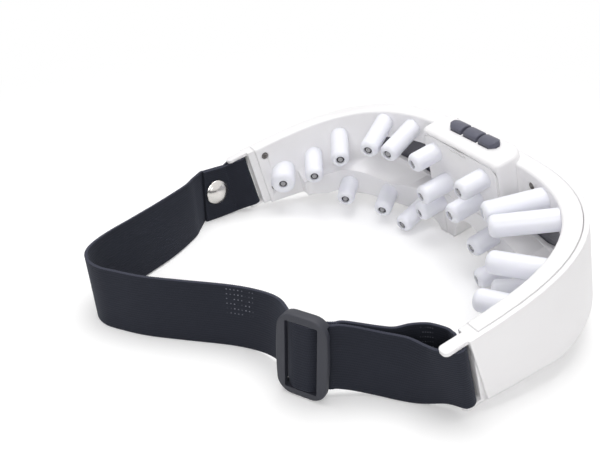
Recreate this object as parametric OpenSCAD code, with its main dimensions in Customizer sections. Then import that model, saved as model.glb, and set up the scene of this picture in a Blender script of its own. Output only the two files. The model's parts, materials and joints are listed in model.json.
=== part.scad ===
// Eye massager: a goggle-shaped mask with magnetic fingers on an elastic head strap.
// The mask is drawn level, with X across the face, Y towards its front and Z up, and is
// then set down pitched back, as it lies on a table on its nose lobes and its strap.

/* [Mask] */
// Half of the outside width across the temples
half_w = 98.8; // [95:0.2:103]
// Depth of the curved front, from the temples to the outside of the front
depth = 96.5; // [92:0.5:102]
// Height of the top rim above the mask's datum
rim_top = 34.4; // [33.8:0.2:37]
// Wall thickness of both housings
wall = 2; // [1.6:0.1:2.4]
// Width of the rim at the temples, from the outside to the inner wall
side_rim = 8.6; // [7.6:0.2:10]
// Width of the rim at the front
front_rim = 10; // [9:0.2:12]
// How far the cheek ledge stands out from the inner wall at the temples
ledge_side = 5.2; // [4:0.2:6.5]
// How far the ledge and the battery bay stand out from the inner wall at the front
bay_depth = 11.7; // [11.5:0.1:13]
// Seam between the two housings
seam = 0.25; // [0.15:0.05:0.4]
// Angle at which the mask lies back when it is set down
pitch = 16.5; // [14:0.5:19]
// Distance from the strap bars forward to the line about which the mask is pitched
pitch_arm = 9.5; // [9:0.1:11]

/* [Battery bay and buttons] */
// Distance from a battery's contact plate to the outside of the bay
bay_side = 4.65; // [4.2:0.05:6]
// Height of the raised plateau that carries the buttons, above the rim
plateau_h = 3.9; // [3.4:0.1:4.4]
// Height of the cover's lower edge above the datum
cover_foot = 3; // [2:0.2:4]
// Thickness of the battery cover
cover_t = 2.2; // [1.8:0.1:2.6]
// Gap all round the cover
cover_gap = 0.3; // [0.2:0.05:0.5]
// Corner radius of the cover
cover_r = 5; // [3:0.5:7]
// Width of the latch tab at the middle of the cover's upper edge
latch_w = 16; // [12:0.5:20]
// Diameter of a battery
cell_d = 10.5; // [10.3:0.1:10.7]
// Length of a battery without its positive nub
cell_l = 43.5; // [43:0.1:44]
// Distance between the centres of two buttons
button_pitch = 11.2; // [11:0.1:11.8]
// Length of a button along the row
button_l = 9.6; // [9.2:0.1:9.8]
// Width of a button across the row
button_w = 6.8; // [6.2:0.1:7.4]
// Height of a button above the plateau
button_h = 2.8; // [2:0.1:3.6]
// How far a button travels when it is pressed
button_travel = 0.8; // [0.4:0.1:1]
// Gap round a button in its opening
button_gap = 0.35; // [0.3:0.05:0.5]

/* [Fingers] */
// Diameter of a massage finger
finger_d = 10; // [9:0.2:10.8]
// Diameter of the broad finger at each temple
temple_d = 13.5; // [12:0.5:14]
// Radius of the edge round a finger's tip
tip_r = 2.8; // [1.5:0.1:3.5]
// Diameter of the magnet in a finger's tip
magnet_d = 4.3; // [3.5:0.1:5]
// Thickness of the magnet
magnet_t = 2; // [1.5:0.1:3]
// Depth of the magnet's face below the tip
magnet_sink = 0.5; // [0.2:0.1:1]

/* [Eye windows] */
// Distance from the bay to the near side of a window
window_near = 3; // [1.5:0.5:5]
// Distance from the outside of the temple to the far side of a window
window_far = 26.8; // [25.8:0.2:30]
// Height of a window's lower edge above the datum
window_foot = -2.4; // [-2.6:0.2:-1.4]
// Height of a window's upper edge above the datum
window_head = 18.2; // [17.2:0.2:19]
// Distance from a window's near side to where its lower edge turns up
window_run = 14; // [11:0.5:18]
// How far its outer end stands above its inner end
window_rise = 12; // [8:0.5:13]
// Thickness of the smoked lens
lens_t = 1.6; // [1.2:0.1:2]
// How far the lens reaches past the edge of its window
lens_lap = 2.5; // [2:0.1:3]

/* [Motors] */
// Diameter of a vibration motor
motor_d = 6; // [5:0.2:6.6]
// Length of a motor's can
motor_l = 12; // [10:0.5:13]
// Diameter of a motor's shaft
shaft_d = 1; // [0.8:0.1:1.4]
// Radius of the eccentric weight
weight_r = 2.9; // [2.2:0.1:3]

/* [Strap] */
// Width of the elastic strap
strap_w = 30; // [26:0.5:30.4]
// Thickness of the elastic strap
strap_t = 1.3; // [1:0.1:1.5]
// Diameter of a strap bar
bar_t = 4; // [3.4:0.1:4.4]
// Distance from the tips of the prongs to the front of the strap bar
bar_reach = 8.5; // [8:0.1:9]
// Thickness across a prong
prong_t = 5; // [4.6:0.2:6]
// Height of a prong
prong_h = 1.6; // [1.4:0.1:2.2]
// How far a prong's outer side is set in from the outside of the temple
prong_in = 1.1; // [0.5:0.1:1.5]
// How far the outer skin's lower edge stands above the inner housing's
skin_lift = 1.6; // [0.6:0.1:1.7]
// Opening between a strap bar and the end of the arm
strap_slot = 2.6; // [2.4:0.1:4]
// Diameter of the rivet's domed cap
cap_d = 14; // [12:0.5:16]
// Height of the rivet's cap
cap_h = 3.2; // [2:0.1:4]
// Length of the slider along the strap
slider_l = 20; // [18:0.5:24]
// Thickness of the slider
slider_t = 4.8; // [4.6:0.1:6]
// Width of the slider's outer bars
slider_bar = 3; // [2:0.1:3.4]
// Clearance of the strap in the slider
slider_gap = 0.25; // [0.15:0.05:0.4]
// How far the strap reaches behind the mask
strap_rear = 102.5; // [98:0.5:108]

/* [Hidden] */
$fn = 48;

// The outlines and places below are drawn for these sizes and follow the real ones.
drawn = [98.8, 96.5, 102.5];
fit = [half_w / drawn[0], depth / drawn[1], strap_rear / drawn[2]];

// Powers of the two plan curves: the walls and the flatter ledge.
wall_p = [3.4, 3];
ledge_p = [2.8, 2.8];
plan_steps = 40;
// Half sizes of each plan curve, from the outside to the inside.
outer = [half_w, depth];
skin_in = outer - [wall, wall];
frame_out = skin_in - [seam, seam];
inner = outer - [side_rim, front_rim];
wall_out = inner + [wall, wall];
ledge = inner - [ledge_side, bay_depth];
ledge_back = ledge + [wall, wall];
face_y = ledge[1];
plateau = rim_top + plateau_h;
big = 200;

// The batteries' contacts, and the bay round them.
nub = 1;
contact_t = 0.5;
contact_x = cell_l / 2 + nub + 0.1;
bay_half = contact_x + contact_t + bay_side;
window_in = bay_half + window_near;
window_out = half_w - window_far;
window_bend = window_in + window_run;

// The bay behind the cover, its board and the lower end of the buttons.
bay_rear = cover_t + cover_gap + 1.5;
board_t = 1.2;
board_top = plateau - 8;
button_foot = plateau - wall - 1.2;

// Ends of the arms and the strap bars.
bar_tip = -8;
bar_front = bar_tip + bar_reach;
arm_end = bar_front + strap_slot;
frame_end = arm_end + 4.2;
prong_x = half_w - prong_in - prong_t / 2;
bar_x = prong_x;
prong_gap = 0.2;
// The lower prong ends just behind its bar.
lower_tip = bar_front - bar_t - 0.8;
end_step = 1;
// The skin's end slants from here at the rim to here at the prong below.
skin_end = [arm_end - 1.2, arm_end + 2.6];
strap_foot = rim_top - 0.4 - prong_h - prong_gap - strap_w;
prong_foot = strap_foot - prong_gap - prong_h;

// The mask lies a little behind the line about which it is pitched, and the whole part is
// centred front to back on its bounding box.
mask_back = 1.4;
front_reach = (depth + pitch_arm) * cos(pitch) + 27 * sin(pitch) - mask_back;
shift_y = (strap_rear - front_reach) / 2;

// Underside of the mask, seen from the front, for one half: nose arch, lobe, cheek.
UNDER = [for (p = [
    [0, -8], [4, -8.8], [8.5, -12.6], [12, -17.5], [13.6, -23.5], [15.4, -25.7], [18, -26.8],
    [21.5, -26.8], [24, -25.5], [25.6, -23], [27, -20.2], [30, -18.6], [46, -18], [53, -17.3],
    [63, -14.5], [73, -10], [78, -6.4], [84, -7.4], [94, -8.4], [104, -8.4]
]) [p[0] * fit[0], p[1]]];
// Top of the cheek ledge, seen from the front, from the bay outwards.
LEDGE_TOP = [for (p = [
    [20, -2.5], [45, -3], [56, -3.5], [62, -0.8], [68.5, 3.2], [74.5, 6.4], [80, 6],
    [84.4, 4.6], [90, 12], [96, 12]
]) [p[0] * fit[0], p[1]]];
// Lower edge of the arms, seen from the side, from the prongs forwards.
ARM_FOOT = concat([[-40, prong_foot], [frame_end, prong_foot - 1.1]], [for (p = [
    [30, -4.2], [46, -9], [60, -15], [67, -18.4], [73.5, -27.5], [92, -31], [140, -33]
]) [p[0] * fit[1], p[1]]]);
ledge_start = 27.5 * fit[1];

// Fingers of one half: base angle on its plan curve, height, direction, length.
// The angle runs from the temple at 0 to the middle of the front at 90.
TEMPLE = [6, 14, 28, 13];
BROW = [[17.4, 16.3, 28, 23.5], [30.5, 23, 30, 27], [54.8, 28, 52, 29], [69.4, 27, 65, 27.5]];
CHEEK = [[34.6, -3.2, 41, 16], [55.1, -9.3, 48, 18], [72.5, -13.4, 74, 19.2]];
// Fingers on the bay: distance from the middle, height, length.
NOSE = [20.9, -3.8, 14.7];
COVER_UPPER = [18, 28, 14.8];
COVER_LOWER = [11.5, 12.8, 17.3];

// Places of the screws that hold the housings together: angle or place, height.
SCREWS = [[12, 28.5], [12, 8], [76.5, 27]];
screw_d = 2.4;
screw_head = 4.2;

function unit(v) = v / norm(v);
function curve_at(size, power, t) =
    [size[0] * sign(cos(t)) * pow(abs(cos(t)), 2 / power[0]), size[1] * pow(sin(t), 2 / power[1])];
function curve(size, power) =
    [for (i = [0:plan_steps]) curve_at(size, power, 180 * i / plan_steps)];
function mirrored(points) = concat([for (i = [len(points) - 1:-1:0]) [-points[i][0], points[i][1]]],
    [for (p = points) p]);
function raised(points, dz) = [for (p = points) [p[0], p[1] + dz]];
// A point of the level mask, set down as it lies.
function laid(p) = [
    p[0],
    (p[1] + pitch_arm) * cos(pitch) - p[2] * sin(pitch) + shift_y - mask_back,
    (p[1] + pitch_arm) * sin(pitch) + p[2] * cos(pitch)
];
// Carries whatever is drawn in the level mask to where it lies.
module lay() {
    translate([0, shift_y - mask_back, 0]) rotate([pitch, 0, 0]) translate([0, pitch_arm, 0])
        children();
}

module on_table() {
    difference() {
        children();
        translate([-big, -big, -big]) cube([2 * big, 2 * big, big]);
    }
}

module both_sides() {
    children();
    mirror([1, 0, 0]) children();
}

module side(s) {
    if (s < 0) mirror([1, 0, 0]) children();
    else children();
}

// A prism over the area inside a plan curve, with straight arms running back.
module inside(size, power, z0, z1, back = 60) {
    translate([0, 0, z0]) linear_extrude(z1 - z0)
        polygon(concat(curve(size, power), [[-size[0], -back], [size[0], -back]]));
}

module between(size_in, power_in, size_out, power_out, z0, z1) {
    difference() {
        inside(size_out, power_out, z0, z1);
        inside(size_in, power_in, z0 - 1, z1 + 1, 80);
    }
}

// A prism through the whole depth, drawn as seen from the front.
module from_front(points) {
    translate([0, 150, 0]) rotate([90, 0, 0]) linear_extrude(200) polygon(points);
}

// A prism through the whole width, drawn as seen from the side.
module from_side(points) {
    translate([-150, 0, 0]) rotate([90, 0, 90]) linear_extrude(300) polygon(points);
}

// Everything above the underside, which is raised by dz inside the walls.
module above_under(dz) {
    intersection() {
        from_front(concat(mirrored(raised(UNDER, dz)), [[half_w + 5, 80], [-half_w - 5, 80]]));
        from_side(concat(raised(ARM_FOOT, dz), [[140, 80], [-40, 80]]));
    }
}

module ledge_zone(dz) {
    both_sides() from_front(concat(raised(LEDGE_TOP, -dz),
        [[96 * fit[0], -60], [20 * fit[0], -60]]));
}

module rounded_box(x0, x1, y0, y1, z0, z1, r) {
    translate([0, 0, z0]) linear_extrude(z1 - z0) rounded_square(x0, x1, y0, y1, r);
}

module rounded_square(x0, x1, y0, y1, r) {
    union() {
        translate([x0 + r, y0]) square([x1 - x0 - 2 * r, y1 - y0]);
        translate([x0, y0 + r]) square([x1 - x0, y1 - y0 - 2 * r]);
        for (x = [x0 + r, x1 - r]) for (y = [y0 + r, y1 - r]) translate([x, y]) circle(r);
    }
}

// A round-cornered opening or plate seen from the front.
module front_plate(x0, x1, z0, z1, r, y0, y1) {
    translate([0, y1, 0]) rotate([90, 0, 0]) linear_extrude(y1 - y0)
        rounded_square(x0, x1, z0, z1, r);
}

// The bay and the plateau above it share one outline, drawn in by shrink inside the walls.
module bay_prism(z0, z1, shrink = 0, rear = 0) {
    x = bay_half - shrink;
    y0 = face_y + rear;
    y1 = frame_out[1] - 1.2 - shrink;
    back_r = 3 - shrink / 2;
    front_r = 9 - shrink;
    translate([0, 0, z0]) linear_extrude(z1 - z0) union() {
        translate([-x + back_r, y0]) square([2 * (x - back_r), y1 - y0 - front_r]);
        translate([-x, y0 + back_r]) square([2 * x, y1 - y0 - back_r - front_r]);
        translate([-x + front_r, y1 - front_r - 1]) square([2 * (x - front_r), front_r + 1]);
        for (s = [-1, 1]) {
            translate([s * (x - back_r), y0 + back_r]) circle(back_r);
            translate([s * (x - front_r), y1 - front_r]) circle(front_r);
        }
    }
}

// Rounds the corner b of an outline that runs a, b, c.
function corner(a, b, c, r) = let (
    u = unit(a - b), v = unit(c - b), half = acos(u * v) / 2, turn = 180 - 2 * half,
    middle = b + unit(u + v) * r / sin(half),
    p = b + u * r / tan(half) - middle,
    q = b + v * r / tan(half) - middle)
    [for (i = [0:6]) middle + (p * sin(turn * (1 - i / 6)) + q * sin(turn * i / 6)) / sin(turn)];

// An eye window seen from the front: its lower edge turns up over the cheek.
module window(grow, y0, y1) {
    slope = atan(window_rise / (window_out - window_bend));
    corners = [
        [window_in - grow, window_foot - grow],
        [window_bend + grow * tan(slope / 2), window_foot - grow],
        [window_out + grow, window_foot + window_rise + grow * (tan(slope) - 1 / cos(slope))],
        [window_out + grow, window_head + grow],
        [window_in - grow, window_head + grow]
    ];
    radii = [3, 8, 4, 4, 3.5];
    translate([0, y1, 0]) rotate([90, 0, 0]) linear_extrude(y1 - y0)
        polygon([for (i = [0:4]) each
            corner(corners[(i + 4) % 5], corners[i], corners[(i + 1) % 5], radii[i] + grow)]);
}

module screw_axis(s) {
    if (s[0] < 60)
        translate([inner[0], s[0], s[1]]) rotate([0, 90, 0]) children();
    else
        translate([0, 0, s[1]]) let (p = curve_at(inner, wall_p, s[0]))
            translate([p[0], p[1], 0]) rotate([0, 90, 90]) children();
}

module screw_holes(d, z0, z1) {
    both_sides() for (s = SCREWS) screw_axis(s) translate([0, 0, z0]) cylinder(d = d, h = z1 - z0);
}

// Prongs, strap bar and the closed end of one arm, which is set back under the skin.
module arm_tip() {
    translate([half_w - side_rim + 0.6, arm_end, prong_foot])
        cube([side_rim - 0.6 - end_step, frame_end - arm_end, rim_top - prong_foot - 0.4]);
    for (p = [[prong_foot, lower_tip], [strap_foot + strap_w + prong_gap, bar_tip]])
        rounded_box(prong_x - prong_t / 2, prong_x + prong_t / 2, p[1], arm_end + 3, p[0],
            p[0] + prong_h, 2);
    translate([bar_x, bar_front - bar_t / 2, prong_foot + 1])
        cylinder(d = bar_t, h = rim_top - prong_foot - 2);
}

module front_shell() {
    color("whitesmoke") on_table() lay() difference() {
        union() {
            difference() {
                intersection() {
                    between(skin_in, wall_p, outer, wall_p, -40, rim_top - 0.4);
                    above_under(skin_lift);
                }
                from_side([[-60, -60], [skin_end[1], -60], [skin_end[1], prong_foot],
                    [skin_end[0], rim_top], [-60, rim_top]]);
            }
            both_sides() arm_tip();
            intersection() {
                screw_holes(5, wall + 0.2, 30);
                inside(outer - [1, 1], wall_p, -40, rim_top - 3);
            }
        }
        screw_holes(screw_d - 0.4, 0, side_rim - 1.4);
        both_sides() window(0, 60, 120);
    }
}

module frame_body() {
    difference() {
        intersection() {
            union() {
                difference() {
                    between(inner, wall_p, frame_out, wall_p, -40, rim_top);
                    translate([-big, -big, -big]) cube([2 * big, big + frame_end, 2 * big]);
                }
                difference() {
                    intersection() {
                        between(ledge, ledge_p, frame_out, wall_p, -40, 20);
                        ledge_zone(0);
                    }
                    translate([-big, -big, -big]) cube([2 * big, big + ledge_start, 2 * big]);
                }
                bay_prism(-40, plateau);
            }
            above_under(0);
            inside(frame_out, wall_p, -40, 60);
        }
        difference() {
            intersection() {
                union() {
                    difference() {
                        between(wall_out, wall_p, outer, wall_p, -40, rim_top - wall);
                        translate([-big, -big, -big])
                            cube([2 * big, big + frame_end + wall, 2 * big]);
                    }
                    difference() {
                        intersection() {
                            between(ledge_back, ledge_p, outer, wall_p, -40, 20);
                            ledge_zone(wall);
                        }
                        translate([-big, -big, -big])
                            cube([2 * big, big + ledge_start + wall, 2 * big]);
                    }
                    bay_prism(-40, plateau - wall, wall, bay_rear);
                }
                above_under(wall);
            }
        }
    }
}

module inner_frame() {
    color("white") on_table() lay() difference() {
        union() {
            frame_body();
            motor_saddles();
            cell_stops();
        }
        both_sides() window(0, 40, 120);
        screw_holes(screw_d, -1, 20);
        screw_holes(screw_head, -8, 1);
        cover_opening();
        button_openings();
    }
}

cover_head = plateau - 2.4;
opening_foot = cover_foot + 2;
opening_head = board_top - board_t - 0.3;

module cover_outline(grow, y0, y1) {
    front_plate(-bay_half + 1 - grow, bay_half - 1 + grow, cover_foot - grow, cover_head + grow,
        cover_r, y0, y1);
}

// The cover lies in a rebate, with an opening to the batteries behind it.
module cover_opening() {
    cover_outline(0, face_y - 5, face_y + cover_t + cover_gap);
    front_plate(-bay_half + 4, bay_half - 4, opening_foot, opening_head, 2, face_y,
        face_y + bay_rear + 1);
    translate([-latch_w / 4, face_y - 1, cover_head - 1]) cube([latch_w / 2, 2.2, 1.6]);
}

module battery_cover() {
    back = face_y + cover_t - 0.1;
    color("white") lay() difference() {
        union() {
            cover_outline(-cover_gap, face_y, face_y + cover_t);
            // Tabs locate the cover in the opening; a rib stiffens it between the batteries.
            for (x = [-18, 10]) translate([x, back, opening_foot + 0.3]) cube([8, 2, 1]);
            translate([-latch_w / 2 + 2, back, opening_head - 1.3]) cube([latch_w - 4, 1.6, 1]);
            translate([-20, back, cell_z - cell_pitch / 2 - 0.5]) cube([40, 1.8, 1]);
        }
        translate([-latch_w / 2 + 2, face_y - 1, cover_head - 2.4]) cube([latch_w - 4, 1.9, 1.1]);
    }
}

module button_outline(grow, end) {
    // The outer ends of the row are cut off aslant.
    l = button_l / 2 + grow;
    w = button_w / 2 + grow;
    cut = 2.6;
    if (end == 0)
        polygon([[-l, -w], [l, -w], [l, w], [-l, w]]);
    else
        scale([end, 1]) polygon([[-l, -w], [l - cut, -w], [l, -w + cut], [l, w - cut], [l - cut, w],
            [-l, w]]);
}

module button_axis(i) {
    translate([i * button_pitch, face_y + 11.3, 0]) children();
}

module button_openings() {
    for (i = [-1, 0, 1]) button_axis(i) translate([0, 0, plateau - 5])
        linear_extrude(10) button_outline(button_gap, i);
}

module button(i) {
    arch_w = button_w / 2;
    top = plateau + button_h;
    color("darkslategray") lay() button_axis(i) {
        intersection() {
            translate([0, 0, button_foot + 0.2]) linear_extrude(top - button_foot)
                button_outline(0, i);
            translate([-10, 0, 0]) rotate([90, 0, 90]) linear_extrude(20)
                polygon([[-arch_w, 0], [arch_w, 0], [arch_w, top - 1.1],
                    [arch_w * 0.55, top - 0.3], [0, top], [-arch_w * 0.55, top - 0.3],
                    [-arch_w, top - 1.1]]);
        }
        translate([0, 0, button_foot]) linear_extrude(1)
            button_outline(min(0.6, (button_pitch - button_l) / 2 - 0.1), i);
    }
}

module button_left() { button(-1); }
module button_middle() { button(0); }
module button_right() { button(1); }

module circuit_board() {
    color("darkgreen") lay() bay_prism(board_top - board_t, board_top, wall + 0.2, bay_rear + 0.2);
}

module tact_switches() {
    color("silver") lay() for (i = [-1, 0, 1]) button_axis(i) translate([0, 0, board_top]) {
        translate([-3, -3, 0]) cube([6, 6, 3]);
        cylinder(d = 3.4, h = button_foot - button_travel - 0.05 - board_top);
    }
}

cell_y = face_y + cover_t + cover_gap + cell_d / 2 + 0.3;
cell_pitch = cell_d + 0.6;
cell_z = board_top - board_t - 0.8 - cell_d / 2;

module battery(z, flip) {
    color("goldenrod") lay() translate([0, cell_y, z]) rotate([0, flip ? -90 : 90, 0]) {
        translate([0, 0, -cell_l / 2]) cylinder(d = cell_d, h = cell_l);
        cylinder(d = 3.8, h = cell_l / 2 + nub);
    }
}

module battery_upper() { battery(cell_z, false); }
module battery_lower() { battery(cell_z - cell_pitch, true); }

// A plate at each end of each battery, with a spring at the flat end.
module battery_contacts() {
    color("silver") lay() for (x = [-1, 1]) for (k = [0, 1])
        translate([x * contact_x, cell_y, cell_z - k * cell_pitch]) {
            translate([x > 0 ? 0 : -contact_t, -4, -4]) cube([contact_t, 8, 8]);
            if ((x < 0) == (k == 0))
                rotate([0, -90 * x, 0]) cylinder(d1 = 6, d2 = 4, h = nub - 0.1);
        }
}

// Blocks at the sides of the bay back the contacts and carry the board.
module cell_stops() {
    x0 = contact_x + contact_t + 0.1;
    for (s = [-1, 1]) side(s)
        translate([x0, face_y + bay_rear - 0.3, cell_z - cell_pitch - 4])
            cube([bay_half - wall + 0.3 - x0, 8, board_top - board_t - 0.05
                - cell_z + cell_pitch + 4]);
}

module lens(s) {
    color("dimgray") lay() side(s) intersection() {
        between(wall_out + [seam, seam], wall_p, wall_out + [seam + lens_t, seam + lens_t], wall_p,
            -40, 60);
        window(lens_lap, 40, 120);
    }
}

module lens_left() { lens(-1); }
module lens_right() { lens(1); }

motor_at = [76.5 * fit[0], 59 * fit[1], -1.4];
motor_turn = -45;

module motor_place(s) {
    side(s) translate(motor_at) rotate([0, 0, motor_turn]) children();
}

module motor_axis(s) {
    motor_place(s) rotate([0, 90, 0]) children();
}

// Two saddles on the floor of the housing carry each motor.
module motor_saddles() {
    for (s = [-1, 1]) difference() {
        intersection() {
            motor_place(s) for (x = [-motor_l / 4, motor_l / 4])
                translate([x - 0.8, -motor_d / 2 - 1.4, -12]) cube([1.6, motor_d + 2.8, 12]);
            above_under(wall / 2);
        }
        motor_axis(s) cylinder(d = motor_d + 0.1, h = motor_l + 4, center = true);
    }
}

module motor(s) {
    color("silver") lay() motor_axis(s) translate([0, 0, -motor_l / 2])
        cylinder(d = motor_d, h = motor_l);
}

module motor_weight(s) {
    color("gray") lay() motor_axis(s) {
        translate([0, 0, motor_l / 2 + 0.1]) cylinder(d = shaft_d, h = 6);
        intersection() {
            translate([0, 0, motor_l / 2 + 1]) cylinder(r = weight_r, h = 4);
            translate([-shaft_d, -5, 0]) cube([10, 10, 40]);
        }
    }
}

module motor_left() { motor(-1); }
module motor_right() { motor(1); }
module motor_weight_left() { motor_weight(-1); }
module motor_weight_right() { motor_weight(1); }

// Wires from the board to each motor.
WIRE = concat([
    [bay_half - 4.5, depth - 8.2, board_top - board_t - 0.9], [bay_half - 1, depth - 6.3, 26],
    [bay_half + 2, depth - 6.1, 24.2]
], [for (p = [
    [38, 89, 23], [50, 87, 22.6], [62, 82.6, 22.4], [72.5, 77.4, 20.5], [76.8, 74.4, 12],
    [76.6, 72.5, 5], [75, 70, 1], [73, 66.6, -0.8]
]) [p[0] * fit[0], p[1] * fit[1], p[2]]], [motor_at + [-4.9, 5, 0]]);

module motor_wires() {
    color("firebrick") both_sides() tube([for (p = WIRE) laid(p)], 0.8, 8);
}

module housing_screws() {
    color("dimgray") lay() both_sides() for (s = SCREWS) screw_axis(s) {
        translate([0, 0, 0.15]) cylinder(d = screw_head - 0.4, h = 0.8);
        translate([0, 0, 0.15]) cylinder(d = screw_d - 0.5, h = side_rim - 2);
    }
}

// A finger stands along Z with its tip at the top and its magnet pocket in the tip.
module finger_form(d, l) {
    r = d / 2;
    difference() {
        rotate_extrude() union() {
            translate([0, -6]) square([r, l - tip_r + 6]);
            translate([0, l - tip_r]) square([r - tip_r, tip_r]);
            intersection() {
                translate([r - tip_r, l - tip_r]) circle(tip_r);
                translate([0, l - tip_r]) square([r, tip_r]);
            }
        }
        translate([0, 0, l - magnet_sink - magnet_t]) cylinder(d = magnet_d + 0.1, h = 10);
    }
}

module magnet_form(l) {
    translate([0, 0, l - magnet_sink - magnet_t]) cylinder(d = magnet_d, h = magnet_t);
}

// Places a finger whose base lies on a plan curve.
module on_curve(s, size, power, f) {
    p = curve_at(size, power, f[0]);
    side(s) translate([p[0], p[1], f[1]]) rotate([0, -90, f[2]]) children();
}

module on_face(s, f) {
    side(s) translate([f[0], face_y, f[1]]) rotate([90, 0, 0]) children();
}

module wall_finger(s, f, d) {
    color("white") lay() intersection() {
        on_curve(s, inner, wall_p, f) finger_form(d, f[3]);
        inside(inner, wall_p, -40, 60);
    }
}

module cheek_finger(s, f) {
    color("white") lay() intersection() {
        on_curve(s, ledge, ledge_p, f) finger_form(finger_d, f[3]);
        inside(ledge, ledge_p, -40, 60);
    }
}

module face_finger(s, f) {
    color("white") lay() intersection() {
        on_face(s, f) finger_form(finger_d, f[2]);
        translate([-50, face_y - 50, -50]) cube([100, 50, 100]);
    }
}

// The nose fingers stand where the bay meets the rounder ledge.
module nose_finger(s) {
    color("white") intersection() {
        face_finger(s, NOSE);
        lay() inside(ledge, ledge_p, -40, 60);
    }
}

module temple_finger_left() { wall_finger(-1, TEMPLE, temple_d); }
module temple_finger_right() { wall_finger(1, TEMPLE, temple_d); }
module brow_finger_1_left() { wall_finger(-1, BROW[0], finger_d); }
module brow_finger_2_left() { wall_finger(-1, BROW[1], finger_d); }
module brow_finger_3_left() { wall_finger(-1, BROW[2], finger_d); }
module brow_finger_4_left() { wall_finger(-1, BROW[3], finger_d); }
module brow_finger_1_right() { wall_finger(1, BROW[0], finger_d); }
module brow_finger_2_right() { wall_finger(1, BROW[1], finger_d); }
module brow_finger_3_right() { wall_finger(1, BROW[2], finger_d); }
module brow_finger_4_right() { wall_finger(1, BROW[3], finger_d); }
module cheek_finger_1_left() { cheek_finger(-1, CHEEK[0]); }
module cheek_finger_2_left() { cheek_finger(-1, CHEEK[1]); }
module cheek_finger_3_left() { cheek_finger(-1, CHEEK[2]); }
module cheek_finger_1_right() { cheek_finger(1, CHEEK[0]); }
module cheek_finger_2_right() { cheek_finger(1, CHEEK[1]); }
module cheek_finger_3_right() { cheek_finger(1, CHEEK[2]); }
module nose_finger_left() { nose_finger(-1); }
module nose_finger_right() { nose_finger(1); }
module cover_finger_upper_left() { face_finger(-1, COVER_UPPER); }
module cover_finger_upper_right() { face_finger(1, COVER_UPPER); }
module cover_finger_lower_left() { face_finger(-1, COVER_LOWER); }
module cover_finger_lower_right() { face_finger(1, COVER_LOWER); }

module magnets(s) {
    color("dimgray") lay() {
        on_curve(s, inner, wall_p, TEMPLE) magnet_form(TEMPLE[3]);
        for (f = BROW) on_curve(s, inner, wall_p, f) magnet_form(f[3]);
        for (f = CHEEK) on_curve(s, ledge, ledge_p, f) magnet_form(f[3]);
        on_face(s, NOSE) magnet_form(NOSE[2]);
    }
}

module magnets_left() { magnets(-1); }
module magnets_right() { magnets(1); }
module magnets_cover() {
    color("dimgray") lay() for (s = [-1, 1]) for (f = [COVER_UPPER, COVER_LOWER])
        on_face(s, f) magnet_form(f[2]);
}

// A round tube along points.
function ring_at(points, i) = let (
    n = len(points) - 1,
    t = unit(points[min(i + 1, n)] - points[max(i - 1, 0)]),
    a = unit(cross(t, abs(t[2]) > 0.9 ? [1, 0, 0] : [0, 0, 1])),
    b = cross(t, a)) [a, b];

module tube(points, r, sides) {
    rings = [for (i = [0:len(points) - 1]) let (f = ring_at(points, i))
        for (k = [0:sides - 1]) points[i] + r * (cos(360 * k / sides) * f[0]
            + sin(360 * k / sides) * f[1])];
    last = (len(points) - 1) * sides;
    polyhedron(rings, concat(
        [for (i = [0:len(points) - 2]) for (k = [0:sides - 1]) each [
            [i * sides + k, (i + 1) * sides + (k + 1) % sides, i * sides + (k + 1) % sides],
            [i * sides + k, (i + 1) * sides + k, (i + 1) * sides + (k + 1) % sides]]],
        [[for (k = [0:sides - 1]) k]],
        [[for (k = [sides - 1:-1:0]) last + k]]));
}

// A smooth curve through points, by cubic segments.
function cubic(a, b, c, d, t) = 0.5 * (2 * b + (c - a) * t + (2 * a - 5 * b + 4 * c - d) * t * t
    + (3 * b - a - 3 * c + d) * t * t * t);
function smooth(p, n) = concat(
    [for (i = [0:len(p) - 2]) for (k = [0:n - 1])
        cubic(p[max(i - 1, 0)], p[i], p[i + 1], p[min(i + 2, len(p) - 1)], k / n)],
    [p[len(p) - 1]]);

lean = -tan(pitch);
loop_r = bar_t / 2 + 0.3 + strap_t / 2;
loop_y = bar_front - bar_t / 2;
strap_mid = strap_foot + strap_w / 2;
// A station of the strap is its centre and the lean of its width across and along.
// This one lies square to the level mask.
function square_on(x, y, across = 0) = let (p = laid([x, y, strap_mid]))
    [p[0], p[1], p[2], across, lean];
// The fold round a strap bar, from the outside of the arm to its inside.
function fold(s, i) = square_on(s * (bar_x + loop_r * cos(22.5 * i)), loop_y + loop_r * sin(22.5 * i));

flat_z = strap_w / 2;
slider_at = [57.2 * fit[0], -41.8 * fit[2] + shift_y];
slider_turn = 33.5;
slider_lift = 3.6;
// Places in the slider: along the strap, and outwards through its thickness.
function in_slider(x, d) = [
    slider_at[0] + x * cos(slider_turn) + d * sin(slider_turn),
    slider_at[1] + x * sin(slider_turn) - d * cos(slider_turn),
    flat_z + slider_lift, 0, 0
];
// The strap's end is looped round the slider's centre bar, and the strap runs over it.
centre_bar = [-1.5, 1.5];
centre_t = 1.4;
turn_gap = 0.4;
turn_r = centre_t / 2 + turn_gap + strap_t / 2;
turn_x = centre_bar[0] + centre_t / 2;
crest = centre_t + turn_gap + 1.5 * strap_t + 0.25;
passing = slider_t - 2.4 - slider_gap - strap_t / 2;

// The two layers of the left strap lie a lap apart at the rivet.
lap = strap_t + 0.2;
shank_d = 3;
rivet_turn = 10;
// The rivet's place from the middle of the doubled length, along the strap and up.
rivet_place = [1, 1.3];
rivet_at = [3.78 - half_w, -16.1 + shift_y];
function by_rivet(x, d, up, across, along) = [
    rivet_at[0] + x * sin(rivet_turn) + d * cos(rivet_turn),
    rivet_at[1] - x * cos(rivet_turn) + d * sin(rivet_turn),
    flat_z + up, across, along
];

function placed(list) = [for (p = list)
    [p[0] * fit[0], p[1] * fit[2] + shift_y, flat_z + p[2], p[3], p[4]]];

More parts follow.
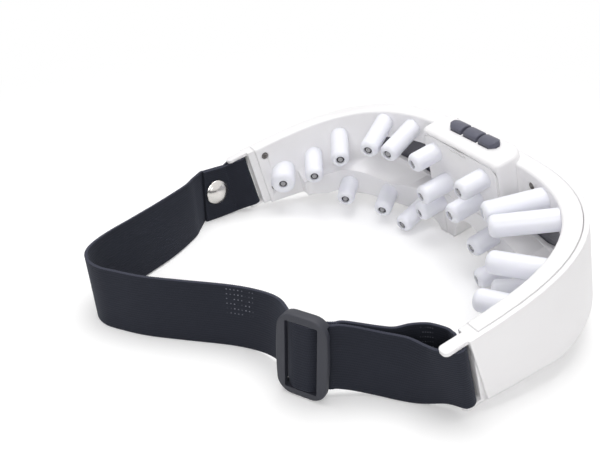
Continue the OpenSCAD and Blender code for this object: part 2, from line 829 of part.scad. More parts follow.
// Points of the strap, chosen by hand: across, front to back, height above where it lies
// flat, and how far its upper edge leans across and along.
LEFT_END = [by_rivet(8.6, lap / 2, 0, 0, 0), by_rivet(7, lap / 2, 0, 0, 0),
    by_rivet(0, lap / 2, 0.1, 0.02, -0.11), by_rivet(-7, lap / 2, 0.3, 0.04, -0.2),
    by_rivet(-9, lap / 2, 0.45, 0.04, -0.25), square_on(5.4 - half_w, -5.2)];
LEFT_RUN = concat([square_on(0.6 - half_w, -5.2), by_rivet(-9, -lap / 2, 0.45, 0.04, -0.25),
    by_rivet(-7, -lap / 2, 0.3, 0.04, -0.2), by_rivet(0, -lap / 2, 0.1, 0.02, -0.11),
    by_rivet(7, -lap / 2, 0, 0, 0), by_rivet(9, -lap / 2, 0, -0.01, 0)],
    placed([[-91.2, -27.9, 0, -0.05, 0], [-87, -31.7, 0, -0.08, -0.03],
        [-80, -38, 0, -0.12, -0.06], [-68, -54, 0, -0.2, -0.1], [-58, -70, 0, -0.2, -0.1],
        [-48, -87, 0, -0.16, -0.1], [-40, -97, 0, -0.08, -0.1], [-32, -101, 0, 0, -0.06],
        [-23, -99.5, 0, 0, -0.02], [-15, -93.5, 0, 0, 0], [-6, -85, 0, 0, 0],
        [4, -72.5, 0, 0, 0], [13, -60.7, 0, 0, 0], [19, -54, 0.2, 0, 0],
        [25.5, -48.8, 0.7, 0, 0], [33, -45.5, 1.9, 0, 0], [40.5, -44.6, 3.3, 0, 0]]));
WOVEN = [in_slider(-10, -2.5), in_slider(-6.5, 1), in_slider(-3.4, crest - 0.25),
    in_slider(0, crest), in_slider(2.8, crest - 0.2), in_slider(4.6, 2.5), in_slider(6, 0.9),
    in_slider(8, -0.3), in_slider(10, -1.6), in_slider(12, -3)];
RIGHT_RUN = concat(placed([[68, -26.9, 2.2, 0, 0], [72.8, -19.1, 0.35, 0, 0],
    [79.2, -12.7, 0.1, 0.02, 0.02], [85.3, -8.2, 0.15, 0.08, -0.08]]),
    [square_on(half_w - 7.6, -7.6, 0.03), fold(1, -2.5), fold(1, -1.25)]);
RETURN_RUN = concat([square_on(half_w - 6.8, loop_y + loop_r + 0.05),
        square_on(half_w - 9.5, loop_y + loop_r + 0.5)],
    placed([[86.3, 6.1, 2.8, 0.02, -0.28], [82.5, 5.2, 1.9, 0.04, -0.2],
        [76.6, 0.7, 1.1, 0.03, -0.12], [74, -6.2, 0.8, 0, -0.05], [73.2, -13.8, 1, 0, 0],
        [70.4, -19.4, 1.7, 0, 0]]));
RETURN_END = [in_slider(12.6, -5.8), in_slider(9.6, -3.4), in_slider(7, -2),
    in_slider(4, centre_t / 2 - turn_r - 0.1), in_slider(turn_x, centre_t / 2 - turn_r)];

strap_steps = 3;
STRAP_START = concat(smooth(concat(LEFT_END, [fold(-1, 8)]), strap_steps),
    [for (i = [7:-1:1]) fold(-1, i)]);
STRAP_OUT = concat(smooth(concat([fold(-1, 0)], LEFT_RUN, WOVEN, RIGHT_RUN, [fold(1, 0)]),
    strap_steps), [for (i = [1:3]) fold(1, i)]);
STRAP_BACK = concat(smooth(concat([fold(1, 4)], RETURN_RUN, RETURN_END), strap_steps),
    [for (a = [15:15:180]) in_slider(turn_x - turn_r * sin(a), centre_t / 2 - turn_r * cos(a))],
    [in_slider(1.6, centre_t / 2 + turn_r)]);
STRAP = concat(STRAP_START, STRAP_OUT, STRAP_BACK);
left_stop = len(STRAP_START) + strap_steps * len(LEFT_RUN);
woven_stop = left_stop + strap_steps * len(WOVEN);
right_stop = len(STRAP_START) + len(STRAP_OUT);

// One length of the strap, a flat ribbon from one station to another.
module ribbon(first, last) {
    n = last - first;
    points = [for (i = [first:last]) let (
        s = STRAP[i],
        c = [s[0], s[1], s[2]],
        a = STRAP[max(i - 1, 0)],
        b = STRAP[min(i + 1, len(STRAP) - 1)],
        t = unit([b[0] - a[0], b[1] - a[1], b[2] - a[2]]),
        w = unit([s[3], s[4], 1]),
        out = unit(cross(w, t)))
        each [
            c + w * strap_w / 2 + out * strap_t / 2,
            c + w * strap_w / 2 - out * strap_t / 2,
            c - w * strap_w / 2 - out * strap_t / 2,
            c - w * strap_w / 2 + out * strap_t / 2
        ]];
    polyhedron(points, concat(
        [for (i = [0:n - 1]) for (k = [0:3]) each [
            [4 * i + k, 4 * i + 4 + (k + 1) % 4, 4 * i + (k + 1) % 4],
            [4 * i + k, 4 * i + 4 + k, 4 * i + 4 + (k + 1) % 4]]],
        [[0, 1, 2], [0, 2, 3]],
        [[4 * n, 4 * n + 2, 4 * n + 1], [4 * n, 4 * n + 3, 4 * n + 2]]));
}

module strap_left() {
    color("midnightblue") difference() {
        ribbon(0, left_stop);
        rivet_axis() cylinder(d = shank_d + 0.2, h = 10, center = true);
    }
}

module strap_woven() { color("midnightblue") ribbon(left_stop, woven_stop); }
module strap_right() { color("midnightblue") ribbon(woven_stop, right_stop); }
module strap_return() { color("midnightblue") ribbon(right_stop, len(STRAP) - 1); }

// The slider stands on edge: two outer bars, a set-back centre bar and two rails.
module strap_slider() {
    rail = 3;
    tall = strap_w + 0.8 + 2 * rail;
    bulge = 1;
    half = slider_l / 2;
    wide_bar = slider_bar + 0.8;
    z0 = flat_z + slider_lift - tall / 2;
    color("dimgray") translate([slider_at[0], slider_at[1], z0]) rotate([0, 0, slider_turn])
        difference() {
            rotate([90, 0, 0]) linear_extrude(slider_t)
                intersection() {
                    rounded_square(-half - bulge, half + bulge, 0, tall, 6);
                    polygon(concat(
                        [for (i = [0:12]) [half - 1 + 2 * bulge * sin(15 * i), tall * i / 12]],
                        [for (i = [12:-1:0]) [-half + 1 - 2 * bulge * sin(15 * i),
                            tall * i / 12]]));
                }
            // The window, open to the outside over the centre bar.
            translate([-half + slider_bar, -slider_t - 1, rail])
                cube([slider_l - slider_bar - wide_bar, slider_t - centre_t + 1, tall - 2 * rail]);
            for (x = [[-half + slider_bar, centre_bar[0]], [centre_bar[1], half - wide_bar]])
                translate([x[0], -slider_t - 1, rail])
                    cube([x[1] - x[0], slider_t + 2, tall - 2 * rail]);
            // The outer bars are thinner than the rails, so the strap passes behind them.
            for (x = [-slider_l, half - wide_bar])
                translate([x, -passing - strap_t / 2 - slider_gap, rail])
                    cube([half + slider_bar, slider_t, tall - 2 * rail]);
        }
}

module rivet_axis() {
    p = by_rivet(rivet_place[0], 0, rivet_place[1], 0, 0);
    translate([p[0], p[1], p[2]]) rotate([0, 90, rivet_turn]) children();
}

module rivet_cap() {
    sphere_r = (cap_d * cap_d / 4 + cap_h * cap_h) / (2 * cap_h);
    color("silver") rivet_axis() translate([0, 0, lap / 2 + strap_t / 2 + 0.05]) difference() {
        rotate_extrude() intersection() {
            translate([0, cap_h - sphere_r]) circle(sphere_r, $fn = 96);
            square([cap_d / 2, cap_h]);
        }
        translate([0, 0, -1]) cylinder(d = shank_d + 0.1, h = cap_h / 2 + 1);
    }
}

module rivet_post() {
    foot = lap / 2 + strap_t / 2 + 0.05;
    color("silver") rivet_axis() {
        translate([0, 0, -foot - 0.9]) cylinder(d = 9, h = 0.9);
        translate([0, 0, -foot - 0.5]) cylinder(d = shank_d, h = 2 * foot + cap_h / 2 + 0.4);
    }
}

front_shell();
inner_frame();
battery_cover();
button_left();
button_middle();
button_right();
circuit_board();
tact_switches();
battery_upper();
battery_lower();
battery_contacts();
lens_left();
lens_right();
motor_left();
motor_right();
motor_weight_left();
motor_weight_right();
motor_wires();
housing_screws();
temple_finger_left();
temple_finger_right();
brow_finger_1_left();
brow_finger_2_left();
brow_finger_3_left();
brow_finger_4_left();
brow_finger_1_right();
brow_finger_2_right();
brow_finger_3_right();
brow_finger_4_right();
cheek_finger_1_left();
cheek_finger_2_left();
cheek_finger_3_left();
cheek_finger_1_right();
cheek_finger_2_right();
cheek_finger_3_right();
nose_finger_left();
nose_finger_right();
cover_finger_upper_left();
cover_finger_upper_right();
cover_finger_lower_left();
cover_finger_lower_right();
magnets_left();
magnets_right();
magnets_cover();
strap_left();
strap_woven();
strap_right();
strap_return();
strap_slider();
rivet_cap();
rivet_post();
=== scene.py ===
"""Looks of an eye massager: a goggle-shaped mask with massage fingers on an elastic strap.

Lengths are millimetres while a piece is drawn and metres once it is placed. Places in the
mask are level, with X across the face, Y towards its front and Z up; LAID sets them down as
the mask lies on the table.
"""

import json
import logging
import math
from contextlib import contextmanager
from dataclasses import dataclass, field
from enum import Enum
from typing import Callable, Iterable, Iterator, Sequence

import bpy
from mathutils import Matrix, Vector

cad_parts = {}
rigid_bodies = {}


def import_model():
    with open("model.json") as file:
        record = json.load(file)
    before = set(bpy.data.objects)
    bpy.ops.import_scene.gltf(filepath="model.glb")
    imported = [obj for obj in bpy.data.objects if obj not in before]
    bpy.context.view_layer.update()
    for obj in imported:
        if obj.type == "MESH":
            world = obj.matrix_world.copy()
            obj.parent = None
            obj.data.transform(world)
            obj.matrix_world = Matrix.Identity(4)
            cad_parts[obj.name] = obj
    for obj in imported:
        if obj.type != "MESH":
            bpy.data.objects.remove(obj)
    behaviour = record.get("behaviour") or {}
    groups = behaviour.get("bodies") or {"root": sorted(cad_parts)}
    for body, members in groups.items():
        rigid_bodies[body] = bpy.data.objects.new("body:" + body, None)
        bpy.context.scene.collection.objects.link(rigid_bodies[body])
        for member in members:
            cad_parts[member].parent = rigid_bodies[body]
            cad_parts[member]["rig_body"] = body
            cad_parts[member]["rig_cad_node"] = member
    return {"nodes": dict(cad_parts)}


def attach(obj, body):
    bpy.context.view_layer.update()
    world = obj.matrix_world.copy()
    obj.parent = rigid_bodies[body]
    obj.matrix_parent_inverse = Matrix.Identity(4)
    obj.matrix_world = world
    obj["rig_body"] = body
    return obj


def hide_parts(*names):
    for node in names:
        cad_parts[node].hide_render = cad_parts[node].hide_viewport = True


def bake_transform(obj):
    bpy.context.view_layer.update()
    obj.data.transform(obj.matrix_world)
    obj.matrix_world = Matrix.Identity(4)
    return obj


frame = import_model()

logging.basicConfig(level=logging.INFO, format="%(name)s: %(message)s")
LOG = logging.getLogger("eye_massager")

MM = 0.001
PITCH = math.radians(16.5)
PITCH_ARM = 9.5
MASK_BACK = 1.4
SHIFT_Y = -2.7016
LAID = (
    Matrix.Translation((0, SHIFT_Y - MASK_BACK, 0))
    @ Matrix.Rotation(PITCH, 4, "X")
    @ Matrix.Translation((0, PITCH_ARM, 0))
)
TO_METRES = Matrix.Scale(MM, 4)
PLATEAU_TOP = 38.3
EdgeTest = Callable[[Vector, Vector], bool]


def level(point: Vector) -> Vector:
    """A place in metres of the row frame, back in millimetres of the level mask."""
    return LAID.inverted() @ (point / MM)


def upright(direction: Vector) -> Matrix:
    """The turn that carries Z on to a direction."""
    return direction.to_track_quat("Z", "Y").to_matrix().to_4x4()


@dataclass(frozen=True)
class PlanCurve:
    """A plan curve of the level mask, between an ellipse and a box, about the temples' line."""

    half: float
    depth: float
    power_x: float
    power_y: float

    def at(self, angle: float) -> Vector:
        """A point of the curve at height 0.

        Args:
            angle: From the temple at 0 to the middle of the front at 90.

        Returns:
            The point.
        """
        turn = math.radians(angle)
        x = self.half * math.cos(turn) ** (2 / self.power_x)
        y = self.depth * math.sin(turn) ** (2 / self.power_y)
        return Vector((x, y, 0))

    def share(self, point: Vector) -> float:
        """How far out a level point lies: 1 on the curve, less inside it."""
        return (abs(point.x) / self.half) ** self.power_x + (max(point.y, 0) / self.depth) ** self.power_y


OUTER = PlanCurve(98.8, 96.5, 3.4, 3.0)
INNER = PlanCurve(90.2, 86.5, 3.4, 3.0)
LEDGE = PlanCurve(85.0, 74.8, 2.8, 2.8)


class Side(Enum):
    """Which half of the mask a piece belongs to."""

    LEFT = -1
    RIGHT = 1

    @property
    def word(self) -> str:
        """The side as it stands in node names."""
        return self.name.lower()


class Body(Enum):
    """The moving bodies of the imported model."""

    MASK = "mask"
    COVER = "battery_cover"
    SLIDER = "slider"


class NodeTable:
    """A node tree with short calls to fill it."""

    def __init__(self, tree: bpy.types.NodeTree) -> None:
        """Takes the tree that is to be filled."""
        self.tree = tree

    def add(self, kind: str, **sockets: object) -> bpy.types.Node:
        """Adds a node and sets its sockets and settings.

        Args:
            kind: Blender's name of the node's type.
            **sockets: Settings of the node, or input sockets with _ for a blank.

        Returns:
            The new node.
        """
        node = self.tree.nodes.new(kind)
        for key, value in sockets.items():
            if hasattr(node, key):
                setattr(node, key, value)
            else:
                node.inputs[key.replace("_", " ")].default_value = value
        return node

    def join(self, source: object, target: object) -> None:
        """Links an output socket to an input socket."""
        self.tree.links.new(source, target)

    def math(self, operation: str, first: object, second: object) -> object:
        """Adds a Math node on two values, each a socket or a number.

        Args:
            operation: The node's operation.
            first: First value.
            second: Second value.

        Returns:
            The node's output socket.
        """
        node = self.add("ShaderNodeMath", operation=operation)
        for slot, value in zip(node.inputs, (first, second)):
            if isinstance(value, (int, float)):
                slot.default_value = value
            else:
                self.join(value, slot)
        return node.outputs[0]

    def noise(self, scale: float, detail: float = 2.0, stretch: tuple = (1, 1, 1)) -> object:
        """Adds noise on Object coordinates.

        Args:
            scale: Waves per metre.
            detail: How many finer layers are added.
            stretch: Scale along each axis.

        Returns:
            The noise's value socket.
        """
        where = self.add("ShaderNodeTexCoord")
        mapping = self.add("ShaderNodeMapping")
        mapping.inputs["Scale"].default_value = stretch
        noise = self.add("ShaderNodeTexNoise", Scale=scale, Detail=detail)
        self.join(where.outputs["Object"], mapping.inputs["Vector"])
        self.join(mapping.outputs["Vector"], noise.inputs["Vector"])
        return noise.outputs[0]

    def blend(self, factor: object, low: Sequence[float], high: Sequence[float]) -> object:
        """Adds a two-colour ramp over a factor.

        Args:
            factor: The socket that drives it.
            low: Colour at 0.
            high: Colour at 1.

        Returns:
            The colour socket.
        """
        ramp = self.add("ShaderNodeValToRGB")
        for stop, colour in zip(ramp.color_ramp.elements, (low, high)):
            stop.color = (*colour, 1)
        self.join(factor, ramp.inputs[0])
        return ramp.outputs[0]

    def spread(self, factor: object, low: float, high: float) -> object:
        """Maps a 0 to 1 value on to a range.

        Args:
            factor: The socket.
            low: Value at 0.
            high: Value at 1.

        Returns:
            The mapped value's socket.
        """
        node = self.add("ShaderNodeMapRange")
        node.inputs["To Min"].default_value = low
        node.inputs["To Max"].default_value = high
        self.join(factor, node.inputs[0])
        return node.outputs[0]

    def half_sine(self, phase: object) -> object:
        """Adds a wave from 0 to 1.

        Args:
            phase: The phase's socket, in radians.

        Returns:
            The wave's socket.
        """
        wave = self.add("ShaderNodeMath", operation="MULTIPLY_ADD")
        self.join(self.math("SINE", phase, 0), wave.inputs[0])
        wave.inputs[1].default_value = wave.inputs[2].default_value = 0.5
        return wave.outputs[0]

    def step(self, value: object, start: float, end: float) -> object:
        """Adds a soft step from 0 to 1.

        Args:
            value: The socket.
            start: Where the step is still 0.
            end: Where it has reached 1.

        Returns:
            The step's socket.
        """
        node = self.add("ShaderNodeMapRange", interpolation_type="SMOOTHSTEP")
        node.inputs["From Min"].default_value = start
        node.inputs["From Max"].default_value = end
        self.join(value, node.inputs["Value"])
        return node.outputs[0]

    def mix(self, factor: object, low: object, high: object) -> object:
        """Mixes two colours, each a socket or three numbers.

        Args:
            factor: The share of the second colour.
            low: First colour.
            high: Second colour.

        Returns:
            The mixed colour's socket.
        """
        node = self.add("ShaderNodeMix", data_type="RGBA")
        self.join(factor, node.inputs["Factor"])
        for place, value in zip((node.inputs[6], node.inputs[7]), (low, high)):
            if isinstance(value, tuple):
                place.default_value = (*value, 1)
            else:
                self.join(value, place)
        return node.outputs[2]

    def looked_at(self) -> object:
        """Tells rays that see a thing from those that light by it.

        Returns:
            A socket that is 1 for camera, glossy and transmission rays.
        """
        path = self.add("ShaderNodeLightPath")
        looked = path.outputs["Is Camera Ray"]
        for ray in ("Is Glossy Ray", "Is Transmission Ray"):
            looked = self.math("MAXIMUM", looked, path.outputs[ray])
        return looked


class SurfaceTable(NodeTable):
    """The node tree of a new material, with its shader."""

    def __init__(self, name: str) -> None:
        """Starts a material with a plain shader.

        Args:
            name: The material's name.
        """
        self.material = bpy.data.materials.new(name)
        self.material.use_nodes = True
        super().__init__(self.material.node_tree)
        self.tree.nodes.clear()
        self.shader = self.add("ShaderNodeBsdfPrincipled")
        self.output = self.add("ShaderNodeOutputMaterial")
        self.join(self.shader.outputs[0], self.output.inputs["Surface"])

    def constants(self, **values: object) -> None:
        """Sets sockets of the shader, named with _ for a blank."""
        for key, value in values.items():
            self.shader.inputs[key.replace("_", " ")].default_value = value

    def drive(self, source: object, socket: str) -> None:
        """Links a value to a socket of the shader."""
        self.join(source, self.shader.inputs[socket])

    def tint(self, cloud: object, colour: Sequence[float], darkest: float, palest: float) -> None:
        """Clouds the surface between two shades of a colour."""
        self.drive(self.blend(cloud, shaded(colour, darkest), shaded(colour, palest)), "Base Color")

    def gloss(self, cloud: object, smoothest: float, roughest: float) -> None:
        """Varies the roughness between two values."""
        self.drive(self.spread(cloud, smoothest, roughest), "Roughness")

    def bump(self, height: object, depth: float, edge: float = 0.0) -> None:
        """Puts relief on the surface, over edges rounded in the shading.

        Args:
            height: The relief, from 0 to 1.
            depth: Its depth in metres.
            edge: Radius of the rounded edges in metres, or 0.
        """
        bump = self.add("ShaderNodeBump", Distance=depth)
        self.join(height, bump.inputs["Height"])
        if edge:
            rounded = self.add("ShaderNodeBevel", samples=6, Radius=edge)
            self.join(rounded.outputs[0], bump.inputs["Normal"])
        self.drive(bump.outputs[0], "Normal")


def linear(red: int, green: int, blue: int) -> tuple[float, float, float]:
    """Turns a colour as seen on screen, from 0 to 255, into Blender's linear values."""
    return tuple(((v / 255 + 0.055) / 1.055) ** 2.4 if v > 10 else v / 3294 for v in (red, green, blue))


def shaded(colour: Sequence[float], share: float) -> tuple[float, ...]:
    """A colour multiplied by a share."""
    return tuple(v * share for v in colour)


@dataclass(frozen=True)
class Paint:
    """What every finish has: its material's name, its slot and its colour."""

    name: str
    slot: str
    colour: tuple[float, float, float]


@dataclass(frozen=True)
class MouldedPlastic(Paint):
    """Injection-moulded plastic with a fine grain and softly rounded edges.

    Crevices narrower than twice the given distance get a faint emitted glow: painted light,
    standing in for light that comes through thin walls there.
    """

    roughness: float
    grain: float = 2600.0
    depth: float = 0.00001
    edge: float = 0.0006
    glow: float = 0.0
    crevice: float = 0.0
    crevice_glow: float = 0.0

    def make(self) -> bpy.types.Material:
        """Builds the material.

        Returns:
            The material.
        """
        table = SurfaceTable(self.name)
        table.tint(table.noise(38, 3), self.colour, 0.965, 1)
        table.gloss(table.noise(160, 4), self.roughness - 0.05, self.roughness + 0.06)
        if self.crevice:
            # Painted light: narrow crevices, found by ambient occlusion, glow faintly.
            around = table.add("ShaderNodeAmbientOcclusion", samples=8, Distance=self.crevice)
            closed = table.step(around.outputs["AO"], 0.55, 0.1)
            table.constants(Emission_Color=(1, 0.99, 0.98, 1))
            table.drive(table.spread(closed, 0, self.crevice_glow), "Emission Strength")
        if self.glow:
            table.constants(
                Subsurface_Weight=self.glow, Subsurface_Radius=(1, 0.95, 1.1), Subsurface_Scale=0.0022
            )
        table.bump(table.noise(self.grain, 4), self.depth, self.edge)
        return table.material


@dataclass(frozen=True)
class SoftRubber(Paint):
    """Matt rubber with a fine, slightly dusty grain."""

    def make(self) -> bpy.types.Material:
        """Builds the material.

        Returns:
            The material.
        """
        table = SurfaceTable(self.name)
        table.tint(table.noise(240, 5), self.colour, 0.86, 1.12)
        table.gloss(table.noise(500, 3), 0.5, 0.66)
        table.constants(Sheen_Weight=0.15, Sheen_Roughness=0.5)
        table.bump(table.noise(5200, 2), 0.00003, 0.0004)
        return table.material


@dataclass(frozen=True)
class Glint:
    """A stretch of the strap with rows of pale dots: partly rubber threads showing through, partly painted
    highlights on them.

    Start, end and pitch are metres along the band. Lowest says how far down the band the
    dots come, from 1 at its top to 0.
    """

    start: float
    end: float
    pitch: float
    lowest: float


@dataclass(frozen=True)
class ElasticWeave(Paint):
    """Woven elastic: lengthwise ribs with a finer thread slanting across each, and painted highlight dots in
    given stretches.
    """

    glints: tuple[Glint, ...] = ()
    selvedge: tuple[float, float, float] = linear(58, 60, 72)
    # Colour of the glint dots: the pale rubber threads, painted as highlights.
    rubber: tuple[float, float, float] = linear(126, 128, 139)
    ribs: float = 26.0
    threads: float = 1300.0
    glint_rows: float = 13.0
    glint_fade: float = 0.0015

    def shown(self, table: SurfaceTable, glint: Glint, across: object, along: object) -> object:
        """How strongly a glint's painted highlight dots show at each place.

        Args:
            table: The material's table.
            glint: The stretch.
            across: Place across the band, from 0 to 1.
            along: Place along the band, in metres.

        Returns:
            The share's socket.
        """
        shares = (
            table.step(along, glint.start, glint.start + self.glint_fade),
            table.step(along, glint.end, glint.end - self.glint_fade),
            table.step(across, glint.lowest, glint.lowest + 0.1),
            table.step(table.noise(620, 1), 0.35, 0.6),
        )
        rows = table.half_sine(table.math("MULTIPLY", across, self.glint_rows * math.tau))
        dots = table.half_sine(table.math("MULTIPLY", along, math.tau / glint.pitch))
        shown = table.math("MULTIPLY", table.step(rows, 0.86, 0.97), table.step(dots, 0.6, 0.95))
        for share in shares:
            shown = table.math("MULTIPLY", share, shown)
        return shown

    def make(self) -> bpy.types.Material:
        """Builds the material on the band's own UV map: U across, V along in metres.

        Returns:
            The material.
        """
        table = SurfaceTable(self.name)
        uv = table.add("ShaderNodeUVMap", uv_map="weave")
        split = table.add("ShaderNodeSeparateXYZ")
        table.join(uv.outputs[0], split.inputs[0])
        across, along = split.outputs[0], split.outputs[1]
        ribbed = table.math("MULTIPLY", across, self.ribs * math.tau)
        slant = table.math("MULTIPLY", along, self.threads * math.tau)
        thread = table.half_sine(table.math("ADD", slant, table.math("MULTIPLY", ribbed, 0.5)))
        rib = table.math("MULTIPLY", table.half_sine(ribbed), 0.62)
        woven = table.math("ADD", rib, table.math("MULTIPLY", thread, 0.38))
        cloud = table.math("MULTIPLY", table.noise(90, 5), 0.4)
        tone = table.math("ADD", table.math("MULTIPLY", woven, 0.6), cloud)
        colour = table.blend(tone, shaded(self.colour, 0.7), shaded(self.colour, 1.3))
        off_centre = table.math("ABSOLUTE", table.math("SUBTRACT", across, 0.5), 0)
        colour = table.mix(table.step(off_centre, 0.486, 0.497), colour, self.selvedge)
        # Painted highlights: pale glint dots on the rubber threads in each given stretch.
        for glint in self.glints:
            colour = table.mix(self.shown(table, glint, across, along), colour, self.rubber)
        table.drive(colour, "Base Color")
        table.constants(
            Roughness=0.86,
            Specular_IOR_Level=0.3,
            Sheen_Weight=0.12,
            Sheen_Roughness=0.4,
            Sheen_Tint=(0.55, 0.6, 0.75, 1),
        )
        table.bump(woven, 0.0001)
        return table.material


@dataclass(frozen=True)
class TurnedMetal(Paint):
    """Plated metal with fine scratches and a little tarnish."""

    roughness: float
    edge: float = 0.0002

    def make(self) -> bpy.types.Material:
        """Builds the material.

        Returns:
            The material.
        """
        table = SurfaceTable(self.name)
        table.tint(table.noise(300, 4), self.colour, 0.82, 1)
        table.constants(Metallic=1.0)
        scratched = table.noise(2200, 6, (1, 1, 0.15))
        table.gloss(scratched, self.roughness - 0.06, self.roughness + 0.1)
        table.bump(scratched, 0.000006, self.edge)
        return table.material


@dataclass(frozen=True)
class SmokedPlastic(Paint):
    """Dark glossy visor plastic with faint handling marks."""

    def make(self) -> bpy.types.Material:
        """Builds the material.

        Returns:
            The material.
        """
        table = SurfaceTable(self.name)
        table.tint(table.noise(60, 3), self.colour, 0.9, 1)
        table.gloss(table.noise(700, 5), 0.12, 0.2)
        table.constants(Coat_Weight=0.4)
        table.bump(table.noise(300, 2), 0.000008, 0.0003)
        return table.material


@dataclass(frozen=True)
class BandedWrap(Paint):
    """A cell's wrap or a board's lacquer: one colour, crossed by bands of another."""

    band: tuple[float, float, float]
    scale: float
    roughness: float = 0.35
    band_from: float = 0.8

    def make(self) -> bpy.types.Material:
        """Builds the material.

        Returns:
            The material.
        """
        table = SurfaceTable(self.name)
        where = table.add("ShaderNodeTexCoord")
        wave = table.add("ShaderNodeTexWave", Scale=self.scale, Distortion=1.5)
        table.join(where.outputs["Object"], wave.inputs["Vector"])
        ramp = table.add("ShaderNodeValToRGB")
        ramp.color_ramp.interpolation = "CONSTANT"
        ground, band = ramp.color_ramp.elements
        ground.color = (*self.colour, 1)
        band.position, band.color = self.band_from, (*self.band, 1)
        table.join(wave.outputs[1], ramp.inputs[0])
        table.drive(ramp.outputs[0], "Base Color")
        table.gloss(table.noise(400, 4), self.roughness - 0.05, self.roughness + 0.1)
        table.bump(table.noise(900, 3), 0.00002, 0.0003)
        return table.material


class Finish(Enum):
    """Every finish of the massager."""

    # Housing and cover carry painted light: a faint glow in their narrow seams.
    HOUSING = MouldedPlastic(
        "white_housing",
        "housing",
        linear(245, 244, 245),
        0.34,
        edge=0.0008,
        crevice=0.0012,
        crevice_glow=0.05,
    )
    COVER = MouldedPlastic(
        "white_cover", "housing", linear(245, 244, 245), 0.36, crevice=0.0012, crevice_glow=0.24
    )
    FINGER = MouldedPlastic("cool_white_finger", "finger", linear(243, 244, 253), 0.3, edge=0, glow=0.35)
    BUTTON = SoftRubber("slate_rubber", "button", linear(82, 83, 98))
    SLIDER = MouldedPlastic(
        "charcoal_slider", "slider", linear(44, 46, 55), 0.52, grain=3600, depth=0.00003, edge=0.0003
    )
    # The glints on both strap finishes are painted highlights on the rubber threads.
    STRAP = ElasticWeave(
        "navy_black_elastic", "strap", linear(29, 32, 42), (Glint(0.2305, 0.2445, 0.0017, 0.5),)
    )
    STRAP_RETURN = ElasticWeave(
        "navy_black_return",
        "strap",
        linear(29, 32, 42),
        (Glint(0.0188, 0.0262, 0.00105, 0.3), Glint(0.0425, 0.0463, 0.0011, 0.75)),
    )
    RIVET = TurnedMetal("satin_nickel", "rivet", (0.74, 0.72, 0.69), 0.2, 0)
    MAGNET = TurnedMetal("ground_magnet_face", "magnet", (0.3, 0.3, 0.31), 0.25, 0)
    # Painted shade: the magnets' outer ring is near black, for the shadowed gap in the pocket.
    MAGNET_RIM = SoftRubber("black_magnet_rim", "magnet", linear(46, 46, 52))
    LENS = SmokedPlastic("smoked_lens", "lens", linear(66, 66, 77))
    BOARD = BandedWrap("green_board", "board", (0.02, 0.13, 0.06), (0.05, 0.22, 0.1), 260)
    CONTACT = TurnedMetal("spring_steel", "contact", (0.66, 0.65, 0.6), 0.3)
    BATTERY = BandedWrap("cell_wrap", "battery", (0.05, 0.05, 0.055), (0.55, 0.33, 0.13), 12)
    WIRE = SoftRubber("red_wire", "wire", (0.35, 0.03, 0.025))
    MOTOR = TurnedMetal("drawn_can", "motor", (0.6, 0.6, 0.6), 0.3)
    # The screw heads are painted darker than bare zinc, to stand for the shade in their holes.
    SCREW = TurnedMetal("zinc_screw", "screw", (0.22, 0.21, 0.2), 0.38, 0)


class PaintShelf:
    """Makes each material once."""

    def __init__(self) -> None:
        """Starts with nothing made."""
        self.made: dict[Finish, bpy.types.Material] = {}

    def get(self, finish: Finish) -> bpy.types.Material:
        """The material of a finish.

        Args:
            finish: Which finish.

        Returns:
            Its material, made at the first call.
        """
        if finish not in self.made:
            self.made[finish] = finish.value.make()
        return self.made[finish]


